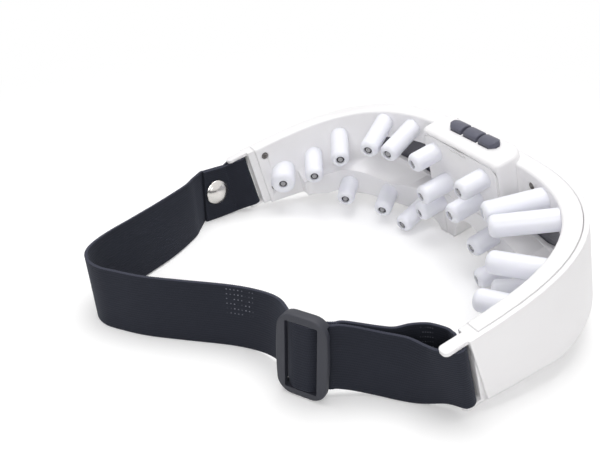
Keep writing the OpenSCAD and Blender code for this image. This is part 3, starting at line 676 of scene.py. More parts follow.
class Workshop:
    """Hand tools for meshes."""

    @staticmethod
    def clear() -> None:
        """Deselects everything, as the CAD nodes come in selected."""
        if bpy.context.mode != "OBJECT":
            bpy.ops.object.mode_set(mode="OBJECT")
        bpy.ops.object.select_all(action="DESELECT")

    @classmethod
    def take(cls, *objects: bpy.types.Object) -> bpy.types.Object:
        """Selects only these objects, the last one active.

        Args:
            *objects: What to select.

        Returns:
            The active object.
        """
        cls.clear()
        for obj in objects:
            obj.select_set(True)
        bpy.context.view_layer.objects.active = objects[-1]
        return objects[-1]

    @classmethod
    @contextmanager
    def editing(cls, obj: bpy.types.Object) -> Iterator[None]:
        """Opens an object in edit mode with all of it selected, for the length of a block.

        Args:
            obj: The object.

        Yields:
            Nothing.
        """
        cls.take(obj)
        bpy.ops.object.mode_set(mode="EDIT")
        bpy.ops.mesh.select_all(action="SELECT")
        yield
        bpy.ops.object.mode_set(mode="OBJECT")

    @classmethod
    def box(cls, name: str, low: Sequence[float], high: Sequence[float]) -> bpy.types.Object:
        """Adds a cube primitive between two corners, in millimetres.

        Args:
            name: The object's name.
            low: Lowest corner.
            high: Highest corner.

        Returns:
            The box.
        """
        cls.clear()
        bpy.ops.mesh.primitive_cube_add(size=1)
        obj = bpy.context.object
        obj.name = name
        obj.scale = [b - a for a, b in zip(low, high)]
        obj.location = [(a + b) / 2 for a, b in zip(low, high)]
        bpy.ops.object.transform_apply(location=True, rotation=False, scale=True)
        return obj

    @classmethod
    def turned(cls, name: str, profile: Sequence[tuple[float, float]], sides: int = 48) -> bpy.types.Object:
        """Turns a solid about Z: a disc is extruded and resized from ring to ring.

        Args:
            name: The object's name.
            profile: Radius and height of each ring, from the first cap to the last.
            sides: Faces round the axis.

        Returns:
            The closed solid, in millimetres.
        """
        cls.clear()
        radius, height = profile[0]
        bpy.ops.mesh.primitive_circle_add(
            vertices=sides, radius=radius, fill_type="TRIFAN", location=(0, 0, 0)
        )
        obj = bpy.context.object
        obj.name = name
        obj.data.transform(Matrix.Translation((0, 0, height)))
        with cls.editing(obj):
            bpy.ops.mesh.select_mode(type="EDGE")
            bpy.ops.mesh.region_to_loop()
            for ring, top in profile[1:]:
                bpy.ops.mesh.extrude_edges_move(TRANSFORM_OT_translate={"value": (0, 0, top - height)})
                share = ring / radius
                bpy.ops.transform.resize(value=(share, share, 1), center_override=(0, 0, top))
                radius, height = ring, top
            bpy.ops.mesh.edge_face_add()
            bpy.ops.mesh.poke()
            bpy.ops.mesh.select_all(action="SELECT")
            bpy.ops.mesh.normals_make_consistent(inside=False)
        # Blender's own test can leave a long finger with a pocket inside out.
        if sum(face.area * face.center.dot(face.normal) for face in obj.data.polygons) < 0:
            obj.data.flip_normals()
        return obj

    @classmethod
    def edges_where(cls, obj: bpy.types.Object, test: EdgeTest, sharper: float = 0.0) -> None:
        """Enters edit mode with only the edges selected whose two ends pass a test.

        Args:
            obj: The object.
            test: Takes the places of an edge's two ends.
            sharper: Only edges that turn by more than this many degrees are taken.
        """
        cls.take(obj)
        for part in (obj.data.vertices, obj.data.edges, obj.data.polygons):
            part.foreach_set("select", [False] * len(part))
        beside: dict[tuple[int, int], list[Vector]] = {}
        for face in obj.data.polygons:
            for key in face.edge_keys:
                beside.setdefault(key, []).append(face.normal)
        points = obj.data.vertices
        for edge in obj.data.edges:
            sides = beside.get(edge.key, [])
            turn = sides[0].angle(sides[1], 0.0) if len(sides) == 2 else 0.0
            if turn >= math.radians(sharper):
                edge.select = test(points[edge.vertices[0]].co, points[edge.vertices[1]].co)
        bpy.ops.object.mode_set(mode="EDIT")
        bpy.ops.mesh.select_mode(type="EDGE")

    @classmethod
    def rounded(
        cls, obj: bpy.types.Object, test: EdgeTest, width: float, steps: int, sharper: float = 0.0
    ) -> None:
        """Rounds the edges that pass a test.

        Args:
            obj: The object.
            test: Takes the places of an edge's two ends.
            width: How far the rounding reaches from the edge on each side.
            steps: Its segments.
            sharper: Only edges that turn by more than this many degrees are taken.
        """
        cls.edges_where(obj, test, sharper)
        bpy.ops.mesh.bevel(
            offset=width, offset_type="OFFSET", segments=steps, affect="EDGES", clamp_overlap=True
        )
        bpy.ops.object.mode_set(mode="OBJECT")

    @classmethod
    def sliced(cls, obj: bpy.types.Object, axis: Sequence[float], places: Iterable[float]) -> None:
        """Adds rings of edges across an object, so that it can be curved.

        Args:
            obj: The object.
            axis: The direction along which the places are given.
            places: Where the rings go.
        """
        with cls.editing(obj):
            for place in places:
                bpy.ops.mesh.select_all(action="SELECT")
                bpy.ops.mesh.bisect(plane_co=[place * v for v in axis], plane_no=axis)

    @classmethod
    def hollowed(cls, target: bpy.types.Object, tool: bpy.types.Object) -> None:
        """Takes a tool's shape away from a piece, and removes the tool.

        Args:
            target: The piece.
            tool: What is taken away.
        """
        cls.take(target)
        hollow = target.modifiers.new("hollow", "BOOLEAN")
        hollow.operation, hollow.object, hollow.solver = "DIFFERENCE", tool, "EXACT"
        bpy.ops.object.modifier_apply(modifier=hollow.name)
        cls.scrap(tool)

    @classmethod
    def bevelled(
        cls, obj: bpy.types.Object, width: float, segments: int, angle: float
    ) -> bpy.types.Object:
        """Rounds every sharp edge with an applied Bevel modifier.

        Args:
            obj: The object.
            width: Width of the bevel.
            segments: Its segments.
            angle: Edges sharper than this many degrees are rounded.

        Returns:
            The same object.
        """
        cls.take(obj)
        bevel = obj.modifiers.new("edges", "BEVEL")
        bevel.width, bevel.segments = width, segments
        bevel.limit_method, bevel.angle_limit = "ANGLE", math.radians(angle)
        bpy.ops.object.modifier_apply(modifier=bevel.name)
        return obj

    @classmethod
    def smooth(cls, obj: bpy.types.Object, angle: float) -> bpy.types.Object:
        """Shades the object smooth up to an angle.

        Args:
            obj: The object.
            angle: In degrees.

        Returns:
            The same object.
        """
        cls.take(obj)
        bpy.ops.object.shade_smooth_by_angle(angle=math.radians(angle))
        return obj

    @classmethod
    def joined(cls, name: str, parts: Sequence[bpy.types.Object]) -> bpy.types.Object:
        """Joins objects into one.

        Args:
            name: The joined object's name.
            parts: What to join.

        Returns:
            The joined object.
        """
        obj = cls.take(*parts)
        if len(parts) > 1:
            bpy.ops.object.join()
        obj.name = name
        return obj

    @classmethod
    def copied(cls, obj: bpy.types.Object, name: str) -> bpy.types.Object:
        """Copies an object with a mesh of its own.

        Args:
            obj: What to copy.
            name: The copy's name.

        Returns:
            The copy.
        """
        copy = obj.copy()
        copy.data = obj.data.copy()
        copy.name = name
        bpy.context.scene.collection.objects.link(copy)
        return cls.take(copy)

    @classmethod
    def scrap(cls, *objects: bpy.types.Object) -> None:
        """Removes patterns that were only copied from."""
        for obj in objects:
            bpy.data.objects.remove(obj)

    @classmethod
    def placed(cls, obj: bpy.types.Object, place: Matrix) -> bpy.types.Object:
        """Sets a drawn piece at its place, from millimetres into the row frame's metres.

        Args:
            obj: The piece, drawn in millimetres.
            place: Where it goes, in millimetres of the row frame.

        Returns:
            The piece, its object back at the origin.
        """
        cls.take(obj)
        obj.data.transform(TO_METRES @ place)
        if place.determinant() < 0:
            obj.data.flip_normals()
        obj.data.update()
        return obj

    @classmethod
    def from_node(cls, node: str, name: str) -> bpy.types.Object:
        """Copies a CAD node and merges its loose triangles into flat faces.

        Args:
            node: The CAD node.
            name: The new piece's name.

        Returns:
            The merged copy, in metres.
        """
        obj = cls.copied(frame["nodes"][node], name)
        obj.parent = None
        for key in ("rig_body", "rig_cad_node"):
            if key in obj:
                del obj[key]
        with cls.editing(obj):
            bpy.ops.mesh.remove_doubles(threshold=0.000004)
            bpy.ops.mesh.dissolve_limited(angle_limit=math.radians(0.4))
        return obj


@dataclass
class SubAssembly:
    """What every sub-assembly can do: hand its pieces to a body with a finish."""

    paints: PaintShelf

    def dress(self, obj: bpy.types.Object, finish: Finish) -> None:
        """Gives an object one finish all over.

        Args:
            obj: The object.
            finish: The finish.
        """
        obj.data.materials.clear()
        obj.data.materials.append(self.paints.get(finish))

    def hand_in(
        self, obj: bpy.types.Object, body: str, finish: Finish, nodes: Iterable[str], angle: float
    ) -> None:
        """Finishes a new piece: smooth shading, finish, body and the nodes it stands for.

        Args:
            obj: The piece.
            body: The CAD body that it rides on.
            finish: Its finish.
            nodes: The CAD nodes that it replaces.
            angle: Smooth shading up to this angle.
        """
        Workshop.smooth(obj, angle)
        self.dress(obj, finish)
        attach(obj, body)
        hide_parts(*nodes)
        LOG.info("%s: %d faces, on %s", obj.name, len(obj.data.polygons), body)

    def repaint(self, node: str, finish: Finish) -> None:
        """Gives a CAD node that stays its finish.

        Args:
            node: The node's name.
            finish: Its finish.
        """
        obj = frame["nodes"][node]
        for place in obj.material_slots:
            place.material = self.paints.get(finish)
        LOG.info("%s: CAD form, %s", node, finish.value.name)


@dataclass
class Housings(SubAssembly):
    """The two white housings, the battery cover and the smoked lenses."""

    rim_top: float = 34.4
    shell_top: float = 34.0
    row: tuple[float, float, float] = (18.0, 81.5, 90.8)
    lobe_half: float = 34.0
    lobe_top: float = -7.0
    lobe_near: float = 75.2
    sole: float = 0.0004
    plateau_slack: float = 0.02
    ring_slack: float = 0.06

    def on_plateau(self, a: Vector, b: Vector) -> bool:
        """Whether an edge runs round the plateau, outside the button row.

        Args:
            a: The edge's first end.
            b: Its other end.

        Returns:
            True if it does.
        """
        half, near, far = self.row
        for point in (level(a), level(b)):
            if abs(point.z - PLATEAU_TOP) > self.plateau_slack:
                return False
            if abs(point.x) < half and near < point.y < far:
                return False
        return True

    def on_ring(self, curve: PlanCurve, height: float, low: float, high: float) -> EdgeTest:
        """A test for edges at one height that follow a plan curve.

        Args:
            curve: The plan curve.
            height: Height in the level mask.
            low: The smallest share of the curve at which they lie.
            high: The largest.

        Returns:
            The test, on the places of an edge's two ends.
        """

        def on_it(point: Vector) -> bool:
            """Whether a level point lies on the ring."""
            return abs(point.z - height) <= self.ring_slack and low < curve.share(point) < high

        return lambda a, b: on_it(level(a)) and on_it(level(b))

    def in_lobe(self, a: Vector, b: Vector, inset: float) -> bool:
        """Whether an edge lies within the nose lobes.

        Args:
            a: The edge's first end, level.
            b: Its other end.
            inset: How far within their top. Sideways it is four times as far.

        Returns:
            True if it does.
        """
        wide, high = self.lobe_half - 4 * inset, self.lobe_top - inset
        return max(a.z, b.z) < high and max(abs(a.x), abs(b.x)) < wide

    def under_lobe(self, a: Vector, b: Vector) -> bool:
        """Whether an edge runs front to back along the rounded underside of a nose lobe.

        Args:
            a: The edge's first end.
            b: Its other end.

        Returns:
            True if it does.
        """
        first, last = level(a), level(b)
        along = last - first
        return self.in_lobe(first, last, 0) and abs(along.y) > 3 * math.hypot(along.x, along.z)

    def lobe_face(self, a: Vector, b: Vector) -> bool:
        """Whether an edge runs round the near face of a nose lobe, clear of the table.

        Args:
            a: The edge's first end.
            b: Its other end.

        Returns:
            True if it does.
        """
        first, last = level(a), level(b)
        clear = min(a.z, b.z) > self.sole and max(first.y, last.y) < self.lobe_near
        return clear and self.in_lobe(first, last, 1)

    def build(self) -> None:
        """Makes the pieces from merged copies of their CAD forms."""
        shell = Workshop.from_node("front_shell", "front_shell_moulding")
        shell_edge = self.on_ring(OUTER, self.shell_top, 0.88, 1.03)
        Workshop.rounded(shell, shell_edge, 0.5 * MM, 2, 40)
        self.hand_in(shell, Body.MASK.value, Finish.HOUSING, ["front_shell"], 28)
        inner = Workshop.from_node("inner_frame", "inner_frame_moulding")
        for test, width, steps, sharper in (
            (self.on_plateau, 1.9, 5, 8),
            (self.lobe_face, 2.0, 4, 30),
            (self.under_lobe, 1.25, 3, 8),
            (self.on_ring(INNER, self.rim_top, 0.97, 1.03), 1.3, 4, 40),
            (self.on_ring(OUTER, self.rim_top, 0.88, 0.97), 0.5, 2, 40),
        ):
            Workshop.rounded(inner, test, width * MM, steps, sharper)
        self.hand_in(inner, Body.MASK.value, Finish.HOUSING, ["inner_frame"], 28)
        cover = Workshop.from_node("battery_cover", "battery_cover_moulding")
        Workshop.bevelled(cover, 0.00022, 2, 40)
        self.hand_in(cover, Body.COVER.value, Finish.COVER, ["battery_cover"], 35)
        for side in Side:
            node = f"lens_{side.word}"
            piece = Workshop.from_node(node, f"{node}_pane")
            self.hand_in(piece, Body.MASK.value, Finish.LENS, [node], 28)


@dataclass(frozen=True)
class WallPlace:
    """Where a massage finger stands on a curved wall. Angles are degrees."""

    node: str
    angle: float
    height: float
    heading: float
    length: float
    curve: PlanCurve = INNER


@dataclass(frozen=True)
class FacePlace:
    """Where a massage finger stands on the flat face over the nose."""

    node: str
    x: float
    height: float
    length: float
    body: Body = Body.MASK


@dataclass
class Fingers(SubAssembly):
    """The massage fingers and the magnets in their tips."""

    radius: float = 5.0
    temple_radius: float = 6.75
    tip: float = 2.8
    pocket: float = 2.2
    lip: float = 0.25
    magnet_radius: float = 2.15
    magnet_sink: float = 0.5
    magnet_t: float = 2.0
    magnet_broken: float = 0.2
    magnet_face: float = 1.4
    wall_sink: float = 0.7
    root: float = 8.0
    face_sink: float = 0.3
    wall_places: tuple[WallPlace, ...] = (
        WallPlace("temple_finger", 6, 14, 28, 13),
        WallPlace("brow_finger_1", 17.4, 16.3, 28, 23.5),
        WallPlace("brow_finger_2", 30.5, 23, 30, 27),
        WallPlace("brow_finger_3", 54.8, 28, 52, 29),
        WallPlace("brow_finger_4", 69.4, 27, 65, 27.5),
        WallPlace("cheek_finger_1", 34.6, -3.2, 41, 16, LEDGE),
        WallPlace("cheek_finger_2", 55.1, -9.3, 48, 18, LEDGE),
        WallPlace("cheek_finger_3", 72.5, -13.4, 74, 19.2, LEDGE),
    )
    face_places: tuple[FacePlace, ...] = (
        FacePlace("nose_finger", 20.9, -3.8, 14.7),
        FacePlace("cover_finger_upper", 18, 28, 14.8, Body.COVER),
        FacePlace("cover_finger_lower", 11.5, 12.8, 17.3, Body.COVER),
    )
    magnets: dict[str, list[bpy.types.Object]] = field(default_factory=dict)

    def profile(self, radius: float, length: float, root: float) -> list[tuple[float, float]]:
        """The turned profile of a finger, from its root over the tip into the pocket.

        Args:
            radius: The finger's radius.
            length: From the wall to the tip.
            root: How far it reaches behind the wall.

        Returns:
            Radius and height of each ring.
        """
        rings = [(radius, -root), (radius, 0.5 * length)]
        for step in range(9):
            turn = math.radians(90 * step / 8)
            rings.append(
                (
                    radius - self.tip + self.tip * math.cos(turn),
                    length - self.tip + self.tip * math.sin(turn),
                )
            )
        floor = length - self.magnet_sink - self.magnet_t
        rings += [(self.pocket + self.lip, length), (self.pocket + 0.07, length - 0.07)]
        rings += [(self.pocket, length - self.lip), (self.pocket, floor), (0.3, floor)]
        return rings

    def magnet(self, name: str, length: float) -> bpy.types.Object:
        """Turns a magnet with a broken edge, in its place under the tip.

        Args:
            name: The object's name.
            length: The finger's length.

        Returns:
            The magnet.
        """
        face = length - self.magnet_sink
        back = face - self.magnet_t
        rings = [
            (self.magnet_radius - self.magnet_broken, back),
            (self.magnet_radius, back + self.magnet_broken),
            (self.magnet_radius, face - 0.6),
            (self.magnet_radius - 0.15, face - 0.4),
            (1.45, face - 0.3),
            (1.3, face),
            (0.9, face + 0.02),
            (0.3, face - 0.12),
        ]
        disc = Workshop.turned(name, rings, 32)
        # The outer ring of faces is painted near black as shade of the pocket gap; the middle keeps the grey
        # metal face.
        for finish in (Finish.MAGNET, Finish.MAGNET_RIM):
            disc.data.materials.append(self.paints.get(finish))
        for side in disc.data.polygons:
            off_axis = math.hypot(side.center.x, side.center.y)
            side.material_index = 0 if off_axis < self.magnet_face else 1
        return disc

    def finger(
        self, name: str, radius: float, length: float, cut: tuple[Vector, Vector] | None
    ) -> bpy.types.Object:
        """Turns one finger and cuts its root along the wall.

        Args:
            name: The object's name.
            radius: The finger's radius.
            length: Its length.
            cut: A point and the outward normal of the cut, in the finger's own frame.

        Returns:
            The finger.
        """
        piece = Workshop.turned(name, self.profile(radius, length, self.root if cut else self.face_sink))
        if cut:
            with Workshop.editing(piece):
                bpy.ops.mesh.bisect(
                    plane_co=cut[0], plane_no=cut[1], use_fill=True, clear_outer=True, threshold=0.0001
                )
        return piece

    def stand(self, foot: Vector, heading: Vector, side: Side) -> Matrix:
        """The matrix that carries a finger drawn along Z to its place.

        Args:
            foot: Its foot in the level mask.
            heading: Its direction there.
            side: Which half.

        Returns:
            The matrix, in millimetres of the row frame.
        """
        mirror = Matrix.Scale(-1, 4, (1, 0, 0)) if side is Side.LEFT else Matrix.Identity(4)
        return LAID @ mirror @ Matrix.Translation(foot) @ upright(heading)

    def plant(
        self,
        place: WallPlace | FacePlace,
        foot: Vector,
        heading: Vector,
        body: Body = Body.MASK,
        cut: tuple[Vector, Vector] | None = None,
    ) -> None:
        """Makes a finger and its magnet on both halves of the mask.

        Args:
            place: The finger's place, for its name and length.
            foot: Where it stands on the right half of the level mask.
            heading: Its direction there.
            body: What it rides on.
            cut: A point and the outward normal of the cut through its root.
        """
        radius = self.temple_radius if place.node == "temple_finger" else self.radius
        finger = self.finger(f"{place.node}_pattern", radius, place.length, cut)
        magnet = self.magnet(f"{place.node}_magnet", place.length)
        for side in Side:
            stand = self.stand(foot, heading, side)
            name = f"{place.node}_{side.word}"
            pin = Workshop.placed(Workshop.copied(finger, f"{name}_pin"), stand)
            self.hand_in(pin, body.value, Finish.FINGER, [name], 40)
            disc = Workshop.placed(Workshop.copied(magnet, f"{name}_magnet"), stand)
            group = "magnets_cover" if body is Body.COVER else f"magnets_{side.word}"
            self.magnets.setdefault(group, []).append(disc)
        Workshop.scrap(finger, magnet)

    def build(self) -> None:
        """Makes the fingers of both halves and one set of magnets for each body."""
        for place in self.wall_places:
            turn = math.radians(place.heading)
            heading = Vector((-math.cos(turn), -math.sin(turn), 0))
            foot = place.curve.at(place.angle)
            along = place.curve.at(place.angle + 0.5) - place.curve.at(place.angle - 0.5)
            outward = Vector((along.y, -along.x, 0)).normalized()
            foot.z = place.height
            spin = upright(heading).to_3x3().inverted()
            cut = (spin @ (outward * self.wall_sink), spin @ outward)
            self.plant(place, foot, heading, cut=cut)
        for place in self.face_places:
            foot = Vector((place.x, LEDGE.depth, place.height))
            self.plant(place, foot, Vector((0, -1, 0)), place.body)
        for group, discs in self.magnets.items():
            body = Body.COVER if group == "magnets_cover" else Body.MASK
            pieces = Workshop.smooth(Workshop.joined(f"{group}_discs", discs), 30)
            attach(pieces, body.value)
            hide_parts(group)
            LOG.info("%s: %d discs", pieces.name, len(discs))


@dataclass
class Buttons(SubAssembly):
    """Three rubber push buttons with arched tops on the plateau."""

    pitch: float = 11.2
    length: float = 9.6
    width: float = 6.8
    height: float = 2.8
    drop: float = 1.1
    foot: float = 35.3
    row_y: float = 86.1
    corner: float = 2.6 / math.sqrt(2)
    names: dict[int, str] = field(default_factory=lambda: {-1: "left", 0: "middle", 1: "right"})

    def cap(self, index: int) -> bpy.types.Object:
        """Shapes one button: a box with an arched top, its outer corners cut aslant.

        Args:
            index: −1, 0 or 1 along the row.

        Returns:
            The button at its height in the level mask, centred on the origin.
        """
        half_l, half_w = self.length / 2, self.width / 2
        top = PLATEAU_TOP + self.height
        cap = Workshop.box(
            f"button_{self.names[index]}_cap", (-half_l, -half_w, self.foot), (half_l, half_w, top)
        )
        if index:
            outer = index * half_l

            def upright_end(a: Vector, b: Vector) -> bool:
                """Whether an edge stands at the outer end of the row."""
                return max(abs(a.x - outer), abs(b.x - outer)) < 0.01 < abs(a.z - b.z)

            Workshop.rounded(cap, upright_end, self.corner, 1)
        Workshop.sliced(cap, (0, 1, 0), [half_w * (step / 6 - 1) for step in range(1, 12)])
        for point in cap.data.vertices:
            if point.co.z > top - 0.1:
                share = abs(point.co.y) / half_w
                point.co.z = top - self.drop * share**2
        Workshop.bevelled(cap, 0.7, 3, 35)
        return cap

    def build(self) -> None:
        """Makes the three buttons on their own bodies."""
        for index, word in self.names.items():
            cap = self.cap(index)
            place = LAID @ Matrix.Translation((index * self.pitch, self.row_y, 0))
            Workshop.placed(cap, place)
            self.hand_in(cap, f"button_{word}", Finish.BUTTON, [f"button_{word}"], 42)


@dataclass(frozen=True)
class Station:
    """A place on the strap's middle line, with the lean of its width across and along."""

    at: Vector
    across: float = 0.0
    along: float = 0.0

    @property
    def width(self) -> Vector:
        """Direction of the strap's width."""
        return Vector((self.across, self.along, 1)).normalized()


@dataclass
class StrapRoute:
    """The strap's route, from its riveted end round both bars to its end in the slider."""

    half_w: float = OUTER.half
    bar_x: float = 95.2
    loop_r: float = 2.95
    loop_y: float = -1.5
    strap_mid: float = 17.2
    flat_z: float = 15.0
    slider_x: float = 57.2
    slider_y: float = -44.5016
    slider_turn: float = math.radians(33.5)
    slider_lift: float = 3.6
    crest: float = 4.0
    turn_r: float = 1.75
    turn_x: float = -0.8
    centre_t: float = 1.4
    thickness: float = 1.3
    lap: float = 1.5
    rivet_turn: float = math.radians(10)
    rivet_in: float = 3.78
    rivet_back: float = 16.1
    steps: int = 14

    def square_on(self, x: float, y: float, across: float = 0.0) -> Station:
        """A station square to the level mask."""
        return Station(LAID @ Vector((x, y, self.strap_mid)), across, -math.tan(PITCH))

    def fold(self, side: int, step: float) -> Station:
        """A station on the fold round a bar.

        Args:
            side: −1 for the left bar, 1 for the right.
            step: How far round, 22.5 degrees a step.

        Returns:
            The station.
        """
        turn = math.radians(22.5 * step)
        return self.square_on(
            side * (self.bar_x + self.loop_r * math.cos(turn)), self.loop_y + self.loop_r * math.sin(turn)
        )

    def in_slider(self, x: float, out: float) -> Station:
        """A station at a place in the slider.

        Args:
            x: How far along the strap from the slider's middle.
            out: How far out from its back.

        Returns:
            The station.
        """
        cos, sin = math.cos(self.slider_turn), math.sin(self.slider_turn)
        across = self.slider_x + x * cos + out * sin
        along = self.slider_y + x * sin - out * cos
        return Station(Vector((across, along, self.flat_z + self.slider_lift)))

    def by_rivet(self, x: float, out: float, up: float, across: float, along: float) -> Station:
        """A station near the rivet.

        Args:
            x: How far along the strap from the rivet.
            out: How far out from the middle of the lap.
            up: How far above where the strap stands flat.
            across: The width's lean across.
            along: The width's lean along.

        Returns:
            The station.
        """
        cos, sin = math.cos(self.rivet_turn), math.sin(self.rivet_turn)
        right = self.rivet_in - self.half_w + x * sin + out * cos
        back = SHIFT_Y - self.rivet_back - x * cos + out * sin
        return Station(Vector((right, back, self.flat_z + up)), across, along)

    def loose(self, *places: tuple[float, float, float, float, float]) -> list[Station]:
        """Stations given one by one where the strap hangs free."""
        return [Station(Vector((x, y + SHIFT_Y, self.flat_z + z)), a, b) for x, y, z, a, b in places]

    def smoothed(self, stations: Sequence[Station]) -> list[Station]:
        """A smooth curve through stations, by cubic segments.

        Args:
            stations: The stations to pass through.

        Returns:
            The dense curve.
        """
        dense = []
        last = len(stations) - 1
        rows = [(*s.at, s.across, s.along) for s in stations]
        for i in range(last):
            a, b, c, d = rows[max(i - 1, 0)], rows[i], rows[i + 1], rows[min(i + 2, last)]
            for k in range(self.steps):
                t = k / self.steps
                row = [
                    0.5
                    * (
                        2 * q
                        + (r - p) * t
                        + (2 * p - 5 * q + 4 * r - s) * t * t
                        + (3 * q - p - 3 * r + s) * t**3
                    )
                    for p, q, r, s in zip(a, b, c, d)
                ]
                dense.append(Station(Vector(row[:3]), row[3], row[4]))
        return dense + [stations[-1]]

    def slider_frame(self) -> Matrix:
        """The matrix from the slider's own frame to the row frame, in millimetres."""
        at = (self.slider_x, self.slider_y, self.flat_z + self.slider_lift)
        return Matrix.Translation(at) @ Matrix.Rotation(self.slider_turn, 4, "Z")

    def lengths(self) -> tuple[list[Station], list[Station], list[Station]]:
        """The strap in three lengths: up to the slider, on to the right bar, and back.

        Returns:
            Their dense stations.
        """
        lap = self.lap / 2
        left_end = [
            self.by_rivet(8.6, lap, 0, 0, 0),
            self.by_rivet(7, lap, 0, 0, 0),
            self.by_rivet(0, lap, 0.1, 0.02, -0.11),
            self.by_rivet(-7, lap, 0.3, 0.04, -0.2),
            self.by_rivet(-9, lap, 0.45, 0.04, -0.25),
            self.square_on(5.4 - self.half_w, -5.2),
            self.fold(-1, 8),
        ]
        left_run = [
            self.fold(-1, 0),
            self.square_on(0.6 - self.half_w, -5.2),
            self.by_rivet(-9, -lap, 0.45, 0.04, -0.25),
            self.by_rivet(-7, -lap, 0.3, 0.04, -0.2),
            self.by_rivet(0, -lap, 0.1, 0.02, -0.11),
            self.by_rivet(7, -lap, 0, 0, 0),
            self.by_rivet(9, -lap, 0, -0.01, 0),
            *self.loose(
                (-91.2, -27.9, 0, -0.05, 0),
                (-87, -31.7, 0, -0.08, -0.03),
                (-80, -38, 0, -0.12, -0.06),
                (-68, -54, 0, -0.2, -0.1),
                (-58, -70, 0, -0.2, -0.1),
                (-48, -87, 0, -0.16, -0.1),
                (-40, -97, 0, -0.08, -0.1),
                (-32, -101, 0, 0, -0.06),
                (-23, -99.5, 0, 0, -0.02),
                (-15, -93.5, 0, 0, 0),
                (-6, -85, 0, 0, 0),
                (4, -72.5, 0, 0, 0),
                (13, -60.7, 0, 0, 0),
                (19, -54, 0.2, 0, 0),
                (25.5, -48.8, 0.7, 0, 0),
                (33, -45.5, 1.9, 0, 0),
                (40.5, -44.6, 3.3, 0, 0),
            ),
        ]
        woven = [(-10, -2.5), (-6.5, 1), (-3.4, self.crest - 0.25), (0, self.crest), (2.8, self.crest - 0.2)]
        woven += [(4.6, 2.5), (6, 0.9), (8, -0.3), (10, -1.6), (12, -3)]
        right_run = [
            *self.loose(
                (68, -26.9, 2.2, 0, 0),
                (72.8, -19.1, 0.35, 0, 0),
                (79.2, -12.7, 0.1, 0.02, 0.02),
                (85.3, -8.2, 0.15, 0.08, -0.08),
            ),
            self.square_on(self.half_w - 7.6, -7.6, 0.03),
            self.fold(1, -2.5),
            self.fold(1, -1.25),
            self.fold(1, 0),
        ]
        back = [
            self.fold(1, 4),
            self.square_on(self.half_w - 6.8, self.loop_y + self.loop_r + 0.05),
            self.square_on(self.half_w - 9.5, self.loop_y + self.loop_r + 0.5),
            *self.loose(
                (86.3, 6.1, 2.8, 0.02, -0.28),
                (82.5, 5.2, 1.9, 0.04, -0.2),
                (76.6, 0.7, 1.1, 0.03, -0.12),
                (74, -6.2, 0.8, 0, -0.05),
                (73.2, -13.8, 1, 0, 0),
                (70.4, -19.4, 1.7, 0, 0),
            ),
            self.in_slider(12.6, -5.8),
            self.in_slider(9.6, -3.4),
            self.in_slider(7, -2),
            self.in_slider(4, self.centre_t / 2 - self.turn_r - 0.1),
            self.in_slider(self.turn_x, self.centre_t / 2 - self.turn_r),
        ]
        start = self.smoothed(left_end) + [self.fold(-1, 0.25 * i) for i in range(31, 0, -1)]
        out = self.smoothed(left_run + [self.in_slider(*p) for p in woven] + right_run)
        middle = self.steps * (len(left_run) + 7)
        turn = [
            self.in_slider(
                self.turn_x - self.turn_r * math.sin(math.radians(a)),
                self.centre_t / 2 - self.turn_r * math.cos(math.radians(a)),
            )
            for a in range(8, 181, 8)
        ]
        end = self.in_slider(1.6, self.centre_t / 2 + self.turn_r)
        return (
            start + out[: middle + 1],
            out[middle:] + [self.fold(1, 0.25 * i) for i in range(1, 15)],
            [self.fold(1, 0.25 * i) for i in range(14, 16)] + self.smoothed(back) + turn + [end],
        )


